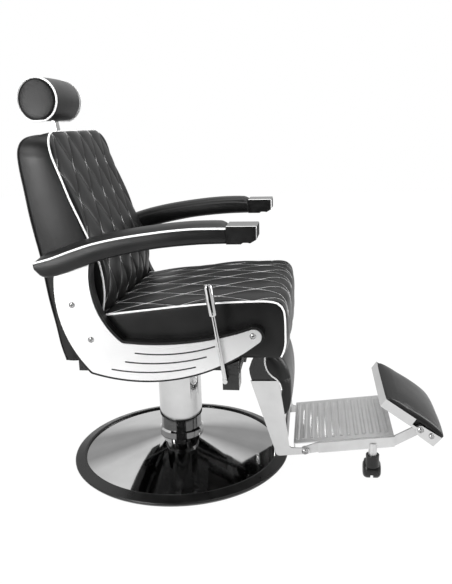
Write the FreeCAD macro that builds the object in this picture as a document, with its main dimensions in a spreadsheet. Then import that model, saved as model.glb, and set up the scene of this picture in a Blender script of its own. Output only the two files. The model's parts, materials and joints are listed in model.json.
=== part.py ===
"""Hydraulic barber chair, built as separate pieces in millimetres.

The sitter faces +X, the sitter's left is +Y and +Z is up. The origin is on
the floor, under the middle of the column. The seat is at its lowest, the back
upright, the legrest down and the foot pad lying back over the tread.
"""
import FreeCAD, Part
import math
import os
import Sketcher

Vector = FreeCAD.Vector
Rotation = FreeCAD.Rotation

# Driving sizes, in millimetres and degrees

BASE_SIZES = {
    "base_radius": 340,
    "ring_band": 34,
    "ring_height": 28,
    "ring_step": 10,
    "ring_foot": 22,
    "ring_waist": 14,
    "ring_side": 19,
    "ring_lip": 4,
    "ring_round": 4,
    "plate_inset": 17,
    "plate_lift": 4,
    "plate_thick": 12,
    "hub_wall": 22,
    "hub_top": 60,
    "dome_wall": 1.6,
    "dome_rim": 5,
    "dome_top": 76,
    "bolt_circle": 40,
    "bolt_radius": 5,
    "bolt_head_radius": 8,
    "bolt_head_height": 5,
    "bolt_length": 15,
}

PUMP_SIZES = {
    "cylinder_radius": 63,
    "cylinder_wall": 6,
    "cylinder_floor": 10,
    "cylinder_top": 325,
    "collar_wall": 6,
    "collar_height": 24,
    "collar_chamfer": 5,
    "bush_height": 33,
    "seal_height": 7,
    "block_width": 52,
    "block_reach": 134,
    "block_height": 22,
    "ear_thick": 6,
    "ear_length": 22,
    "plunger_radius": 8,
    "plunger_length": 24,
    "plunger_reach": 122,
    "pedal_turn": 12,
    "pedal_pin_radius": 5,
    "pedal_pin_reach": 82,
    "pedal_pin_height": 118,
    "pedal_reach": 312,
    "pedal_arm_width": 28,
    "pedal_arm_height": 13,
    "pedal_plate_width": 60,
    "pedal_plate_length": 56,
    "pedal_pad_height": 10,
}

COLUMN_SIZES = {
    "rod_radius": 25,
    "rod_foot": 10,
    "spigot_radius": 20,
    "spigot_height": 40,
    "piston_height": 24,
    "sleeve_radius": 67,
    "sleeve_wall": 2.5,
    "sleeve_bottom": 141,
    "sleeve_top": 339,
    "sleeve_cap": 3,
    "thrust_radius": 55,
    "thrust_height": 6,
}

FRAME_SIZES = {
    "swivel_plate_thick": 8,
    "swivel_plate_length": 220,
    "swivel_hub_radius": 40,
    "rail_spread": 75,
    "rail_width": 40,
    "rail_height": 25,
    "rail_rear": -135,
    "tube_side": 25,
    "tube_wall": 2.5,
    "rear_tube_start": -132,
    "front_tube_start": 198,
    "seat_board_rear": -140,
    "seat_board_front": 270,
    "seat_board_inset": 48,
    "seat_board_thick": 18,
}

SEAT_SIZES = {
    "seat_half_width": 262,
    "seat_rear": -146,
    "seat_front": 345,
    "seat_rear_top": 540,
    "seat_front_top": 575,
    "seat_nose": 36,
    "seat_crown": 12,
    "seat_tuck": 6,
    "stay_thick": 3.5,
    "stay_rise": 26,
}

SIDE_SIZES = {
    "side_gap": 4,
    "side_board_thick": 30,
    "side_plate_thick": 3,
    "side_border": 6,
    "side_heel_x": -176,
    "side_heel_z": 385,
    "side_belly_x": 30,
    "side_belly_z": 368,
    "side_bow_x": -251,
    "side_bow_z": 516,
    "side_top_rear": -260,
    "side_top_front": -163,
    "side_throat_x": -88,
    "side_throat_z": 468,
    "side_hook_x": -150,
    "side_hook_z": 551,
    "side_waist_x": 74,
    "side_waist_z": 468,
    "side_nose_x": 264,
    "side_nose_z": 490,
    "side_nose_round": 20.5,
    "side_corner_round": 14,
    "groove_width": 4,
    "groove_depth": 1.5,
    "screw_head_radius": 6,
    "screw_head_height": 2.5,
    "screw_radius": 3,
    "screw_length": 20,
}

ARM_SIZES = {
    "arm_width": 83,
    "arm_clearance": 6,
    "arm_rear": -302,
    "arm_foot_x": -262,
    "arm_foot_z": 652,
    "arm_root_x": -160,
    "arm_root_z": 685.5,
    "arm_front": 203,
    "arm_under_z": 741,
    "arm_top_z": 781,
    "arm_crown": 9,
    "cap_length": 76,
    "cap_height": 45,
    "cap_notch": 6,
    "cap_round": 3,
}

RECLINE_SIZES = {
    "back_pivot_x": -200,
    "back_pivot_z": 470,
    "leg_pivot_x": 300,
    "leg_pivot_z": 401,
    "link_radius": 110,
    "link_angle": 22.5,
    "link_pin": 6,
    "link_thick": 8,
    "link_side": 120,
    "link_eye": 11,
    "bracket_thick": 9,
    "back_pin_radius": 10,
    "leg_pin_radius": 8,
    "hinge_arm_thick": 6,
    "pivot_tube_radius": 12.5,
    "lock_side": 180,
    "lock_drop": 14.1,
    "lock_radius": 12,
    "lock_rod_radius": 5,
    "lock_front": 160,
    "lock_bore_end": -5,
    "lock_rod_end": -100,
    "lock_valve": 2,
    "lock_eye_width": 28,
    "lock_eye_height": 40,
    "lock_slot_width": 14,
    "lock_slot_height": 22,
    "lock_eye_wall": 2,
    "lock_valve_radius": 3,
    "lock_saddle_inset": 2,
    "lock_saddle_width": 20,
    "lock_strap_back": 60,
    "hinge_arm_eye": 20,
    "hinge_arm_rise": 130,
    "hinge_arm_grip": 60,
    "hinge_arm_lean": 62,
    "lever_plate_wall": 5,
    "bracket_eye_wall": 8,
    "bracket_margin": 6,
    "bracket_flare": 4,
    "hanger_eye_wall": 5,
    "hanger_inset": 2,
    "hanger_foot": 30,
}

LEVER_SIZES = {
    "lever_x": 188,
    "lever_z": 372,
    "lever_side": 310,
    "lever_shaft_radius": 5,
    "lever_hub_radius": 6.5,
    "lever_rod_radius": 5.5,
    "lever_lean": 8.6,
    "lever_rod_length": 182,
    "lever_grip_length": 80,
    "lever_grip_radius": 9,
    "lever_finger": 18,
    "lever_finger_width": 8,
    "lever_box_behind": 10,
    "lever_box_inset": 6,
    "lever_box_length": 44,
    "lever_box_width": 54,
    "lever_box_height": 40,
    "lever_box_wall": 4,
    "lever_box_rear_top": 402,
    "lever_box_front_top": 421,
}

BACK_SIZES = {
    "back_half_width": 244,
    "back_bottom": 398,
    "back_heel_x": -266,
    "back_middle_x": -334,
    "back_middle_z": 803,
    "back_top_rear_x": -348,
    "back_top_rear_z": 1003,
    "back_top_front_x": -280,
    "back_top_front_z": 1019,
    "back_corner": 70,
    "shell_foot_x": -228,
    "shell_head_x": -306,
    "cushion_foot_z": 524,
    "cushion_foot_x": -165,
    "cushion_lumbar_x": -147,
    "cushion_lumbar_z": 600,
    "cushion_bend_x": -155,
    "cushion_bend_z": 678,
    "back_crown": 12,
    "back_tuck": 5,
}

HEAD_SIZES = {
    "roll_x": -345,
    "roll_z": 1107,
    "roll_radius": 57,
    "roll_half_length": 95,
    "roll_end_bulge": 8,
    "roll_edge_round": 9,
    "roll_barrel": 2,
    "post_lean": 8.5,
    "post_thick": 8,
    "post_width": 32,
    "post_above": 20,
    "post_below": 260,
    "socket_wall": 3,
    "socket_top": 103,
    "socket_bottom": 285,
}

LEG_SIZES = {
    "leg_outer": 152.5,
    "leg_plate_thick": 5,
    "leg_bracket_thick": 6,
    "leg_top_rear": 239,
    "leg_top_front": 320,
    "leg_top_z": 313,
    "leg_shin_x": 337.5,
    "leg_shin_z": 200,
    "leg_ankle_x": 348.5,
    "leg_ankle_z": 114,
    "leg_foot_top": 104,
    "leg_foot_bottom": 78,
    "leg_heel_x": 309,
    "leg_bracket_low": 240,
    "leg_tube_radius": 8,
    "leg_tube_z": 284,
    "leg_low_tube_x": 338,
    "leg_low_tube_z": 128,
    "foot_pivot_x": 395,
    "foot_pivot_z": 95,
    "foot_pin_radius": 6,
    "foot_head_radius": 9,
    "foot_head_height": 4,
    "foot_round": 14,
    "foot_taper": 8,
}

CALF_SIZES = {
    "calf_half_width": 150,
    "calf_top": 386,
    "calf_rear_x": 281,
    "calf_front_x": 326,
    "calf_bottom": 208,
    "calf_thick": 20,
    "calf_crown": 5,
    "calf_tuck": 4,
}

PLATFORM_SIZES = {
    "bar_outer": 147,
    "bar_thick": 6,
    "bar_web": 6,
    "bar_start": 431,
    "bar_depth": 31,
    "bar_boss": 12,
    "tread_slope": 7.2,
    "tread_rear": 362,
    "tread_front": 650,
    "tread_front_z": 150,
    "tread_thick": 3,
    "tread_lip": 10,
    "rib_height": 2.5,
    "rib_width": 13,
    "rib_pitch": 21.6,
    "rib_count": 13,
    "rib_margin": 22,
}

PAD_SIZES = {
    "pad_pivot_x": 720,
    "pad_pivot_z": 173,
    "pad_pin_radius": 5,
    "pad_slope": 34.5,
    "pad_pivot_along": 133.6,
    "pad_pivot_over": 7,
    "pad_length": 196,
    "pad_half_width": 153,
    "pad_flange": 3,
    "pad_flange_height": 27,
    "pad_channel_length": 104,
    "pad_narrow": 140,
    "pad_bracket_thick": 4,
    "pad_bracket_start": 121,
    "pad_bracket_drop": 13,
    "pad_bracket_top": 22,
    "pad_rivet_along": 169,
    "pad_rivet_over": 10,
    "pad_rivet_radius": 7,
    "pad_rivet_height": 3,
    "pad_crown": 9,
    "pad_rise": 14,
}

CASTER_SIZES = {
    "caster_x": 589,
    "caster_floor_gap": 8,
    "caster_wheel_radius": 27,
    "caster_wheel_width": 21,
    "caster_wheel_round": 13,
    "caster_web": 8.5,
    "caster_trail": 19,
    "caster_hood_wall": 3,
    "caster_cap_radius": 19,
    "caster_cap_top": 90,
    "caster_stem_radius": 12,
    "caster_pin_radius": 4,
    "caster_pin_length": 16,
    "caster_axle_radius": 3,
}

FIT_SIZES = {
    "seat_gap": 0.3,
    "running_gap": 0.05,
    "side_play": 1,
}

SIZE_GROUPS = (
    BASE_SIZES, PUMP_SIZES, COLUMN_SIZES, FRAME_SIZES, SEAT_SIZES, SIDE_SIZES,
    ARM_SIZES, RECLINE_SIZES, LEVER_SIZES, BACK_SIZES, HEAD_SIZES, LEG_SIZES,
    CALF_SIZES, PLATFORM_SIZES, PAD_SIZES, CASTER_SIZES, FIT_SIZES,
)

# Sides of the chair, as seen by the sitter
SIDES = (("right", -1), ("left", 1))


class Size:
    """A number together with the formula that works it out from the sheet."""

    def __init__(self, number, text):
        self.number = float(number)
        self.text = text

    @staticmethod
    def of(other):
        return other if isinstance(other, Size) else Size(other, repr(float(other)))

    def join(self, other, sign, number):
        return Size(number, "(%s %s %s)" % (self.text, sign, Size.of(other).text))

    def __add__(self, other):
        return self.join(other, "+", self.number + float(other))

    def __sub__(self, other):
        return self.join(other, "-", self.number - float(other))

    def __mul__(self, other):
        return self.join(other, "*", self.number * float(other))

    def __truediv__(self, other):
        return self.join(other, "/", self.number / float(other))

    def __radd__(self, other):
        return Size.of(other) + self

    def __rsub__(self, other):
        return Size.of(other) - self

    def __rmul__(self, other):
        return Size.of(other) * self

    def __neg__(self):
        return Size(-self.number, "(0 - %s)" % self.text)

    def __float__(self):
        return self.number


def sine(angle):
    return Size(math.sin(math.radians(float(angle))), "sin(%s)" % angle.text)


def cosine(angle):
    return Size(math.cos(math.radians(float(angle))), "cos(%s)" % angle.text)


def make_sheet(document):
    """The spreadsheet of driving sizes, and a Size for each of its cells."""
    sheet = document.addObject("Spreadsheet::Sheet", "Sizes")
    found = {}
    row = 1
    for group in SIZE_GROUPS:
        for alias, number in group.items():
            sheet.set("A%d" % row, alias)
            sheet.set("B%d" % row, str(number))
            sheet.setAlias("B%d" % row, alias)
            found[alias] = Size(number, "Sizes." + alias)
            row += 1
    document.recompute()
    return found


doc = FreeCAD.newDocument("BarberChair")
size = make_sheet(doc)
pieces = {}


class Values:
    """The sizes by name, as d.base_radius."""

    def __getattr__(self, name):
        return size[name]


d = Values()

# Small tools for building and placing solids


def bind(thing, name, number):
    """Sets a property, as a formula where it comes from the sheet."""
    if isinstance(number, Size):
        thing.setExpression(name, number.text)
    else:
        setattr(thing, name, number)


def place(thing, x=0, y=0, z=0, axis=None, angle=0):
    """Puts a piece at a point, turned by an angle about an axis."""
    turn = Rotation(axis, float(angle)) if axis else Rotation()
    thing.Placement = FreeCAD.Placement(Vector(float(x), float(y), float(z)), turn)
    for letter, number in (("x", x), ("y", y), ("z", z)):
        if isinstance(number, Size):
            thing.setExpression("Placement.Base." + letter, number.text)
    if axis and isinstance(angle, Size):
        thing.setExpression("Placement.Rotation.Angle", angle.text)
    return thing


def keep(name, thing):
    """Names a finished sub-part."""
    thing.Label = name
    pieces[name] = thing
    return thing


ALONG = {"X": (Vector(0, 1, 0), 90), "Y": (Vector(1, 0, 0), -90), "Z": (None, 0)}


def cylinder(radius, length, x=0, y=0, z=0, along="Z"):
    """A round bar that starts at a point and runs along an axis."""
    bar = doc.addObject("Part::Cylinder", "Bar")
    bind(bar, "Radius", radius)
    bind(bar, "Height", length)
    axis, angle = ALONG[along]
    return place(bar, x, y, z, axis, angle)


def box(length, width, height, x=0, y=0, z=0):
    """A block from its lowest corner."""
    block = doc.addObject("Part::Box", "Block")
    bind(block, "Length", length)
    bind(block, "Width", width)
    bind(block, "Height", height)
    return place(block, x, y, z)


def cut(base, *tools):
    """A piece with other shapes taken away."""
    result = doc.addObject("Part::Cut", "Cut")
    result.Base = base
    result.Tool = tools[0] if len(tools) == 1 else fuse(*tools)
    return result


def fuse(*parts):
    """Pieces joined into one."""
    result = doc.addObject("Part::MultiFuse", "Join")
    result.Shapes = list(parts)
    result.Refine = True
    return result


def group(*parts):
    """Separate solids kept together as one sub-part."""
    result = doc.addObject("Part::Compound", "Group")
    result.Links = list(parts)
    return result


def plane_of(body, role):
    """An origin plane or axis of a body, found by its role."""
    return [item for item in body.Origin.OriginFeatures if item.Role == role][0]


def sketch_polygon(body, role, points):
    """A closed outline of straight sides, each corner tied to the sheet."""
    sketch = body.newObject("Sketcher::SketchObject", "Outline")
    sketch.AttachmentSupport = [(plane_of(body, role), "")]
    sketch.MapMode = "FlatFace"
    count = len(points)
    spots = [Vector(float(across), float(up), 0) for across, up in points]
    for index in range(count):
        sketch.addGeometry(Part.LineSegment(spots[index], spots[(index + 1) % count]), False)
    for index in range(count):
        sketch.addConstraint(Sketcher.Constraint("Coincident", index, 2, (index + 1) % count, 1))
    for index, (across, up) in enumerate(points):
        for kind, number in (("DistanceX", across), ("DistanceY", up)):
            rule = Sketcher.Constraint(kind, -1, 1, index, 1, float(number))
            row = sketch.addConstraint(rule)
            if isinstance(number, Size):
                sketch.setExpression("Constraints[%d]" % row, number.text)
    return sketch


def turned(points):
    """A body turned about the Z axis from a half section of (radius, height)."""
    body = doc.addObject("PartDesign::Body", "Turned")
    sketch = sketch_polygon(body, "XZ_Plane", points)
    lathe = body.newObject("PartDesign::Revolution", "Turn")
    lathe.Profile = sketch
    lathe.ReferenceAxis = (sketch, ["V_Axis"])
    lathe.Angle = 360
    return body


def plate(points, thickness, middle=0, role="XZ_Plane"):
    """A flat piece cut from a side outline, centred at a distance from the middle."""
    body = doc.addObject("PartDesign::Body", "Plate")
    sketch = sketch_polygon(body, role, points)
    pad = body.newObject("PartDesign::Pad", "Thickness")
    pad.Profile = sketch
    bind(pad, "Length", thickness)
    pad.Midplane = True
    if role == "XZ_Plane":
        return place(body, 0, middle, 0)
    return place(body, middle, 0, 0)


def round_edges(body, radius, wanted):
    """Rounds the edges of a body that pass a test."""
    doc.recompute()
    base = body.Tip
    names = ["Edge%d" % (index + 1) for index, edge in enumerate(base.Shape.Edges) if wanted(edge)]
    fillet = body.newObject("PartDesign::Fillet", "Round")
    fillet.Base = (base, names)
    bind(fillet, "Radius", radius)
    body.Tip = fillet
    return body


def shaped(shape):
    """A piece whose form comes from free curves."""
    feature = doc.addObject("Part::Feature", "Form")
    feature.Shape = shape
    return feature


def at(x, z, y=0):
    return Vector(float(x), float(y), float(z))


def arc(start, middle, end):
    return Part.Arc(start, middle, end).toShape()


def line(start, end):
    return Part.LineSegment(start, end).toShape()


def slab(edges, inner, thickness):
    """A flat piece of a closed outline, from an inner distance outwards along Y."""
    outline = Part.Wire(edges)
    face = Part.Face(outline)
    face.translate(Vector(0, float(inner), 0))
    return face.extrude(Vector(0, float(thickness), 0))


def bar_outline(first, second, first_round, second_round):
    """Two round ends joined by their outer tangents."""
    span = second - first
    reach = span.Length
    lean = math.atan2(span.z, span.x)
    spread = math.acos((first_round - second_round) / reach)

    def rim(centre, radius, angle):
        return centre + Vector(radius * math.cos(angle), 0, radius * math.sin(angle))

    upper_a = rim(first, first_round, lean + spread)
    upper_b = rim(second, second_round, lean + spread)
    lower_a = rim(first, first_round, lean - spread)
    lower_b = rim(second, second_round, lean - spread)
    return [
        line(upper_a, upper_b),
        arc(upper_b, rim(second, second_round, lean), lower_b),
        line(lower_b, lower_a),
        arc(lower_a, rim(first, first_round, lean + math.pi), upper_a),
    ]


def mirrored(shape):
    """The same form on the other side of the chair."""
    return shape.mirror(Vector(0, 0, 0), Vector(0, 1, 0))


# Places worked out from the sizes

dome_radius = d.base_radius - d.ring_band
plate_radius = dome_radius - d.plate_inset
ledge_height = d.ring_height - d.ring_step
plate_top = d.plate_lift + d.plate_thick
cylinder_bore = d.cylinder_radius - d.cylinder_wall
collar_radius = d.cylinder_radius + d.collar_wall
collar_bottom = d.dome_top
collar_top = collar_bottom + d.collar_height
arm_under = d.pedal_pin_height - d.pedal_arm_height / 2
rod_bottom = plate_top + d.cylinder_floor + d.rod_foot
bearing_top = d.sleeve_top + d.thrust_height
swivel_bottom = bearing_top + d.seat_gap
rail_bottom = swivel_bottom + d.swivel_plate_thick
tube_bottom = rail_bottom + d.rail_height
lock_height = tube_bottom - d.lock_drop
board_bottom = tube_bottom + d.tube_side
cushion_bottom = board_bottom + d.seat_board_thick
front_tube_end = d.front_tube_start + d.tube_side
rear_tube_end = d.rear_tube_start + d.tube_side
side_inner = d.seat_half_width + d.side_gap
side_plate_inner = side_inner + d.side_board_thick
side_outer = side_plate_inner + d.side_plate_thick
bracket_inner = side_inner - d.bracket_thick
arm_inner = d.back_half_width + d.arm_clearance
hinge_arm_inner = d.back_half_width
hinge_arm_outer = hinge_arm_inner + d.hinge_arm_thick
link_across = -(d.link_radius * sine(d.link_angle))
link_down = -(d.link_radius * cosine(d.link_angle))
back_link_x = d.back_pivot_x + link_across
back_link_z = d.back_pivot_z + link_down
leg_link_x = d.leg_pivot_x + link_across
leg_link_z = d.leg_pivot_z + link_down
leg_inner = d.leg_outer - d.leg_plate_thick
leg_bracket_inner = leg_inner - d.leg_bracket_thick
hanger_outer = leg_bracket_inner - d.side_play
bar_inner = d.bar_outer - d.bar_thick
lock_plate_inner = -(d.lock_side + d.link_thick / 2 + d.side_play + d.hinge_arm_thick)
link_plate_inner = d.link_side - d.side_play - d.hinge_arm_thick
socket_room = d.socket_wall * 2 + d.running_gap * 4
caster_side = d.bar_outer
axle_height = d.caster_floor_gap + d.caster_wheel_radius

# Weighted base


def make_edge_ring():
    """Rubber ring around the base: it touches the floor, is undercut and stands proud of the dome."""
    inner = plate_radius
    lip = dome_radius + d.seat_gap
    ring = turned([
        (inner, 0), (d.base_radius - d.ring_foot, 0),
        (d.base_radius - d.ring_foot / 3, d.ring_waist / 2 - 1), (d.base_radius, d.ring_waist),
        (d.base_radius, d.ring_side), (lip + d.ring_lip, d.ring_height),
        (lip, d.ring_height), (lip, ledge_height), (inner, ledge_height),
    ])
    rim = float(d.base_radius)

    def outer_side(edge):
        return abs(edge.BoundBox.XMax - rim) < 0.01 and edge.BoundBox.ZLength < 0.01

    keep("edge_ring", round_edges(ring, d.ring_round, outer_side))


def base_bolt_places():
    quarter = (0, 90, 180, 270)
    return [(d.bolt_circle * math.cos(math.radians(turn)),
             d.bolt_circle * math.sin(math.radians(turn))) for turn in quarter]


def make_base_plate():
    """Cast iron weight with a hub that holds the pump."""
    body = turned([
        (0, d.plate_lift), (plate_radius, d.plate_lift), (plate_radius, plate_top),
        (d.cylinder_radius + d.hub_wall, plate_top), (d.cylinder_radius + d.hub_wall, d.hub_top),
        (d.cylinder_radius, d.hub_top), (d.cylinder_radius, plate_top), (0, plate_top),
    ])
    holes = []
    for x, y in base_bolt_places():
        holes.append(cylinder(d.bolt_radius + d.seat_gap, d.plate_thick, x, y, d.plate_lift))
        holes.append(cylinder(d.bolt_head_radius + d.seat_gap, d.bolt_head_height + d.seat_gap,
                              x, y, d.plate_lift))
    keep("base_plate", cut(body, *holes))


def make_base_bolts():
    """Bolts from below, through the weight into the foot of the pump."""
    bolts = []
    for x, y in base_bolt_places():
        head = cylinder(d.bolt_head_radius, d.bolt_head_height, x, y, d.plate_lift)
        shank = cylinder(d.bolt_radius, d.bolt_length, x, y, d.plate_lift + d.bolt_head_height)
        bolts.append(fuse(head, shank))
    keep("base_bolts", group(*bolts))


def make_base_dome():
    """Thin polished cover from the edge ring up to the column."""
    rim_top = ledge_height + d.dome_rim
    neck = d.cylinder_radius + d.seat_gap
    keep("base_dome", turned([
        (dome_radius, ledge_height), (dome_radius, rim_top), (neck, d.dome_top),
        (neck, d.dome_top - d.dome_wall), (dome_radius - d.dome_wall, rim_top - d.dome_wall),
        (dome_radius - d.dome_wall, ledge_height),
    ]))


# Hydraulic pump


def make_pump_cylinder():
    """Fixed outer tube of the pump, with a closed foot."""
    floor = plate_top + d.cylinder_floor
    body = turned([
        (0, plate_top), (d.cylinder_radius, plate_top), (d.cylinder_radius, d.cylinder_top),
        (cylinder_bore, d.cylinder_top), (cylinder_bore, floor), (0, floor),
    ])
    depth = d.plate_lift + d.bolt_head_height + d.bolt_length - plate_top + d.seat_gap
    holes = [cylinder(d.bolt_radius + d.running_gap, depth, x, y, plate_top)
             for x, y in base_bolt_places()]
    keep("pump_cylinder", cut(body, *holes))


def ring(inner, outer, bottom, top):
    return turned([(inner, bottom), (outer, bottom), (outer, top), (inner, top)])


def make_guides():
    """Bush and seal that guide the rod at the top of the pump."""
    seal_bottom = d.cylinder_top - d.seal_height
    bush_bottom = seal_bottom - d.bush_height
    keep("guide_bush", ring(d.rod_radius + d.running_gap, cylinder_bore - d.running_gap,
                            bush_bottom, seal_bottom))
    keep("rod_seal", ring(d.rod_radius + d.running_gap, cylinder_bore - d.running_gap,
                          seal_bottom, d.cylinder_top))


def make_column_collar():
    """Flange that closes the top of the dome round the pump."""
    keep("column_collar", turned([
        (d.cylinder_radius, collar_bottom), (collar_radius, collar_bottom),
        (collar_radius, collar_top - d.collar_chamfer),
        (collar_radius - d.collar_chamfer, collar_top), (d.cylinder_radius, collar_top),
    ]))


def turned_back(thing):
    """Turns a piece of the pump drawn behind the column to its real direction."""
    return place(thing, axis=Vector(0, 0, 1), angle=d.pedal_turn)


def make_pump_block():
    """Valve block behind the collar, with the pedal's ears and pin."""
    start = collar_radius - 6
    block = box(d.block_width, d.block_reach - start, d.block_height,
                -(d.block_width / 2), start, collar_bottom)
    bore = cylinder(d.plunger_radius, d.block_height, 0, d.plunger_reach,
                    collar_bottom + d.dome_wall)
    round_seat = cylinder(collar_radius, d.block_height * 2, 0, 0, collar_bottom - 5)
    ear_inner = d.pedal_arm_width / 2 + d.side_play
    ear_start = d.pedal_pin_reach - 9
    ear_bottom = collar_bottom + d.block_height
    ear_height = d.pedal_pin_height + 9 - ear_bottom
    ears = [box(d.ear_thick, d.ear_length, ear_height, start_x, ear_start, ear_bottom)
            for start_x in (ear_inner, -(ear_inner + d.ear_thick))]
    pin_half = ear_inner + d.ear_thick + 3
    pin = cylinder(d.pedal_pin_radius, pin_half * 2, -pin_half, d.pedal_pin_reach,
                   d.pedal_pin_height, "X")
    keep("pump_block", turned_back(fuse(cut(block, bore, round_seat), *ears, pin)))


def make_plunger():
    """Small piston that the pedal presses down."""
    plunger = cylinder(d.plunger_radius - d.running_gap, d.plunger_length, 0, d.plunger_reach,
                       arm_under - d.seat_gap - d.plunger_length)
    keep("pump_plunger", turned_back(group(plunger)))


def make_pedal():
    """Pump pedal and its rubber pad, hinged on the block's pin."""
    eye = cylinder(d.pedal_arm_height / 2 + 3, d.pedal_arm_width, -(d.pedal_arm_width / 2),
                   d.pedal_pin_reach, d.pedal_pin_height, "X")
    arm = box(d.pedal_arm_width, d.pedal_reach - d.pedal_pin_reach, d.pedal_arm_height,
              -(d.pedal_arm_width / 2), d.pedal_pin_reach, arm_under)
    plate_start = d.pedal_reach - d.pedal_plate_length
    tread = box(d.pedal_plate_width, d.pedal_plate_length, d.pedal_arm_height,
                -(d.pedal_plate_width / 2), plate_start, arm_under)
    bore = cylinder(d.pedal_pin_radius + d.running_gap, d.pedal_arm_width * 2, -d.pedal_arm_width,
                    d.pedal_pin_reach, d.pedal_pin_height, "X")
    keep("pump_pedal", turned_back(cut(fuse(eye, arm, tread), bore)))
    pad = box(d.pedal_plate_width, d.pedal_plate_length, d.pedal_pad_height,
              -(d.pedal_plate_width / 2), plate_start, arm_under + d.pedal_arm_height)
    keep("pedal_pad", turned_back(group(pad)))


# Rising column


def make_column():
    """Rod, piston, outer sleeve and swivel bearing, which rise together."""
    keep("piston_rod", turned([
        (0, rod_bottom), (d.rod_radius, rod_bottom), (d.rod_radius, bearing_top),
        (d.spigot_radius, bearing_top), (d.spigot_radius, bearing_top + d.spigot_height),
        (0, bearing_top + d.spigot_height),
    ]))
    keep("piston_head", ring(d.rod_radius + d.running_gap, cylinder_bore - d.running_gap,
                             rod_bottom, rod_bottom + d.piston_height))
    inner = d.sleeve_radius - d.sleeve_wall
    cap = d.sleeve_top - d.sleeve_cap
    neck = d.rod_radius + d.seat_gap
    keep("column_sleeve", turned([
        (inner, d.sleeve_bottom), (d.sleeve_radius, d.sleeve_bottom),
        (d.sleeve_radius, d.sleeve_top), (neck, d.sleeve_top), (neck, cap), (inner, cap),
    ]))
    keep("thrust_ring", ring(neck, d.thrust_radius, d.sleeve_top, bearing_top))


# Seat frame


def make_swivel_plate():
    """Plate and hub that turn on the column's spigot."""
    spread = d.rail_spread + d.rail_width
    top = box(d.swivel_plate_length, spread * 2, d.swivel_plate_thick,
              -(d.swivel_plate_length / 2), -spread, swivel_bottom)
    hub = cylinder(d.swivel_hub_radius, d.spigot_height, 0, 0, swivel_bottom)
    bore = cylinder(d.spigot_radius + d.running_gap, d.spigot_height * 2, 0, 0,
                    swivel_bottom - d.spigot_height / 2)
    keep("swivel_plate", cut(fuse(top, hub), bore))


def cross_tube(start, half_width):
    """A square tube across the chair."""
    outside = box(d.tube_side, half_width * 2, d.tube_side, start, -half_width, tube_bottom)
    hollow = d.tube_side - d.tube_wall * 2
    inside = box(hollow, half_width * 2, hollow, start + d.tube_wall, -half_width,
                 tube_bottom + d.tube_wall)
    return cut(outside, inside)


def make_seat_frame():
    """Two rails on the swivel plate and two square tubes across them."""
    length = front_tube_end - d.rail_rear
    rails = [box(length, d.rail_width, d.rail_height, d.rail_rear, start, rail_bottom)
             for start in (d.rail_spread, -(d.rail_spread + d.rail_width))]
    stay_inner = side_inner - d.stay_thick
    stay_height = cushion_bottom + d.stay_rise - tube_bottom
    stays = [box(d.tube_side, d.stay_thick, stay_height, d.front_tube_start, start, tube_bottom)
             for start in (stay_inner, -side_inner)]
    keep("seat_frame", group(*rails, *stays, cross_tube(d.rear_tube_start, bracket_inner),
                             cross_tube(d.front_tube_start, stay_inner)))


def make_seat_board():
    """Plywood under the seat cushion."""
    half = d.seat_half_width - d.seat_board_inset
    keep("seat_board", box(d.seat_board_front - d.seat_board_rear, half * 2, d.seat_board_thick,
                           d.seat_board_rear, -half, board_bottom))


def make_recline_brackets():
    """Plates that carry the back's hinge, between the frame and the side boards."""
    x, z, eye = d.back_pivot_x, d.back_pivot_z, d.back_pin_radius + d.bracket_eye_wall
    front, low = rear_tube_end + d.bracket_margin, tube_bottom - d.bracket_margin
    flare = d.bracket_flare
    outline = [
        (front, low), (front, cushion_bottom), (d.seat_rear - d.bracket_margin, cushion_bottom),
        (x + eye + flare, z + eye), (x - eye - flare, z + eye), (x - eye - flare * 2, z - eye),
        (x + eye + flare * 3, low),
    ]
    brackets = []
    for _, sign in SIDES:
        middle = (bracket_inner + d.bracket_thick / 2) * sign
        hole = cylinder(d.back_pin_radius, d.bracket_thick * 2, x, middle - d.bracket_thick, z, "Y")
        brackets.append(cut(plate(outline, d.bracket_thick, middle), hole))
    keep("recline_brackets", group(*brackets))


def make_leg_hangers():
    """Plates that carry the legrest hinge, ahead of the front tube."""
    x, z, eye = d.leg_pivot_x, d.leg_pivot_z, d.leg_pin_radius + d.hanger_eye_wall
    inset = d.hanger_inset
    low, high = tube_bottom + inset, board_bottom - inset / 2
    outline = [
        (front_tube_end, low), (front_tube_end + d.hanger_foot, low),
        (x - eye * 1.6, z - eye + inset), (x, z - eye), (x + eye, z), (x, z + eye),
        (d.seat_board_front + inset, high), (front_tube_end, high),
    ]
    hangers = []
    for _, sign in SIDES:
        middle = (hanger_outer - d.leg_bracket_thick / 2) * sign
        hole = cylinder(d.leg_pin_radius + d.running_gap, d.leg_bracket_thick * 2,
                        x, middle - d.leg_bracket_thick, z, "Y")
        hangers.append(cut(plate(outline, d.leg_bracket_thick, middle), hole))
    keep("leg_hangers", group(*hangers))


def cross_pin(radius, x, z, inner, outer, sign):
    """A pin across the chair's side, from an inner to an outer distance."""
    start = inner if sign > 0 else -outer
    return cylinder(radius, outer - inner, x, start, z, "Y")


def make_pivot_pins():
    """Hinge pins of the back and of the legrest."""
    pins = []
    for _, sign in SIDES:
        pins.append(cross_pin(d.back_pin_radius, d.back_pivot_x, d.back_pivot_z,
                              hinge_arm_inner + d.seat_gap, side_inner, sign))
        pins.append(cross_pin(d.leg_pin_radius, d.leg_pivot_x, d.leg_pivot_z,
                              hanger_outer - d.leg_bracket_thick - 1, leg_inner, sign))
    keep("pivot_pins", group(*pins))


# Cushions of the seat


def section_wire(y, sides):
    """A closed outline at one distance across, from lists of two or three points."""
    edges = []
    for side in sides:
        points = [Vector(x, float(y), z) for x, z in side]
        edges.append(line(*points) if len(points) == 2 else arc(*points))
    return Part.Wire(edges)


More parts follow.
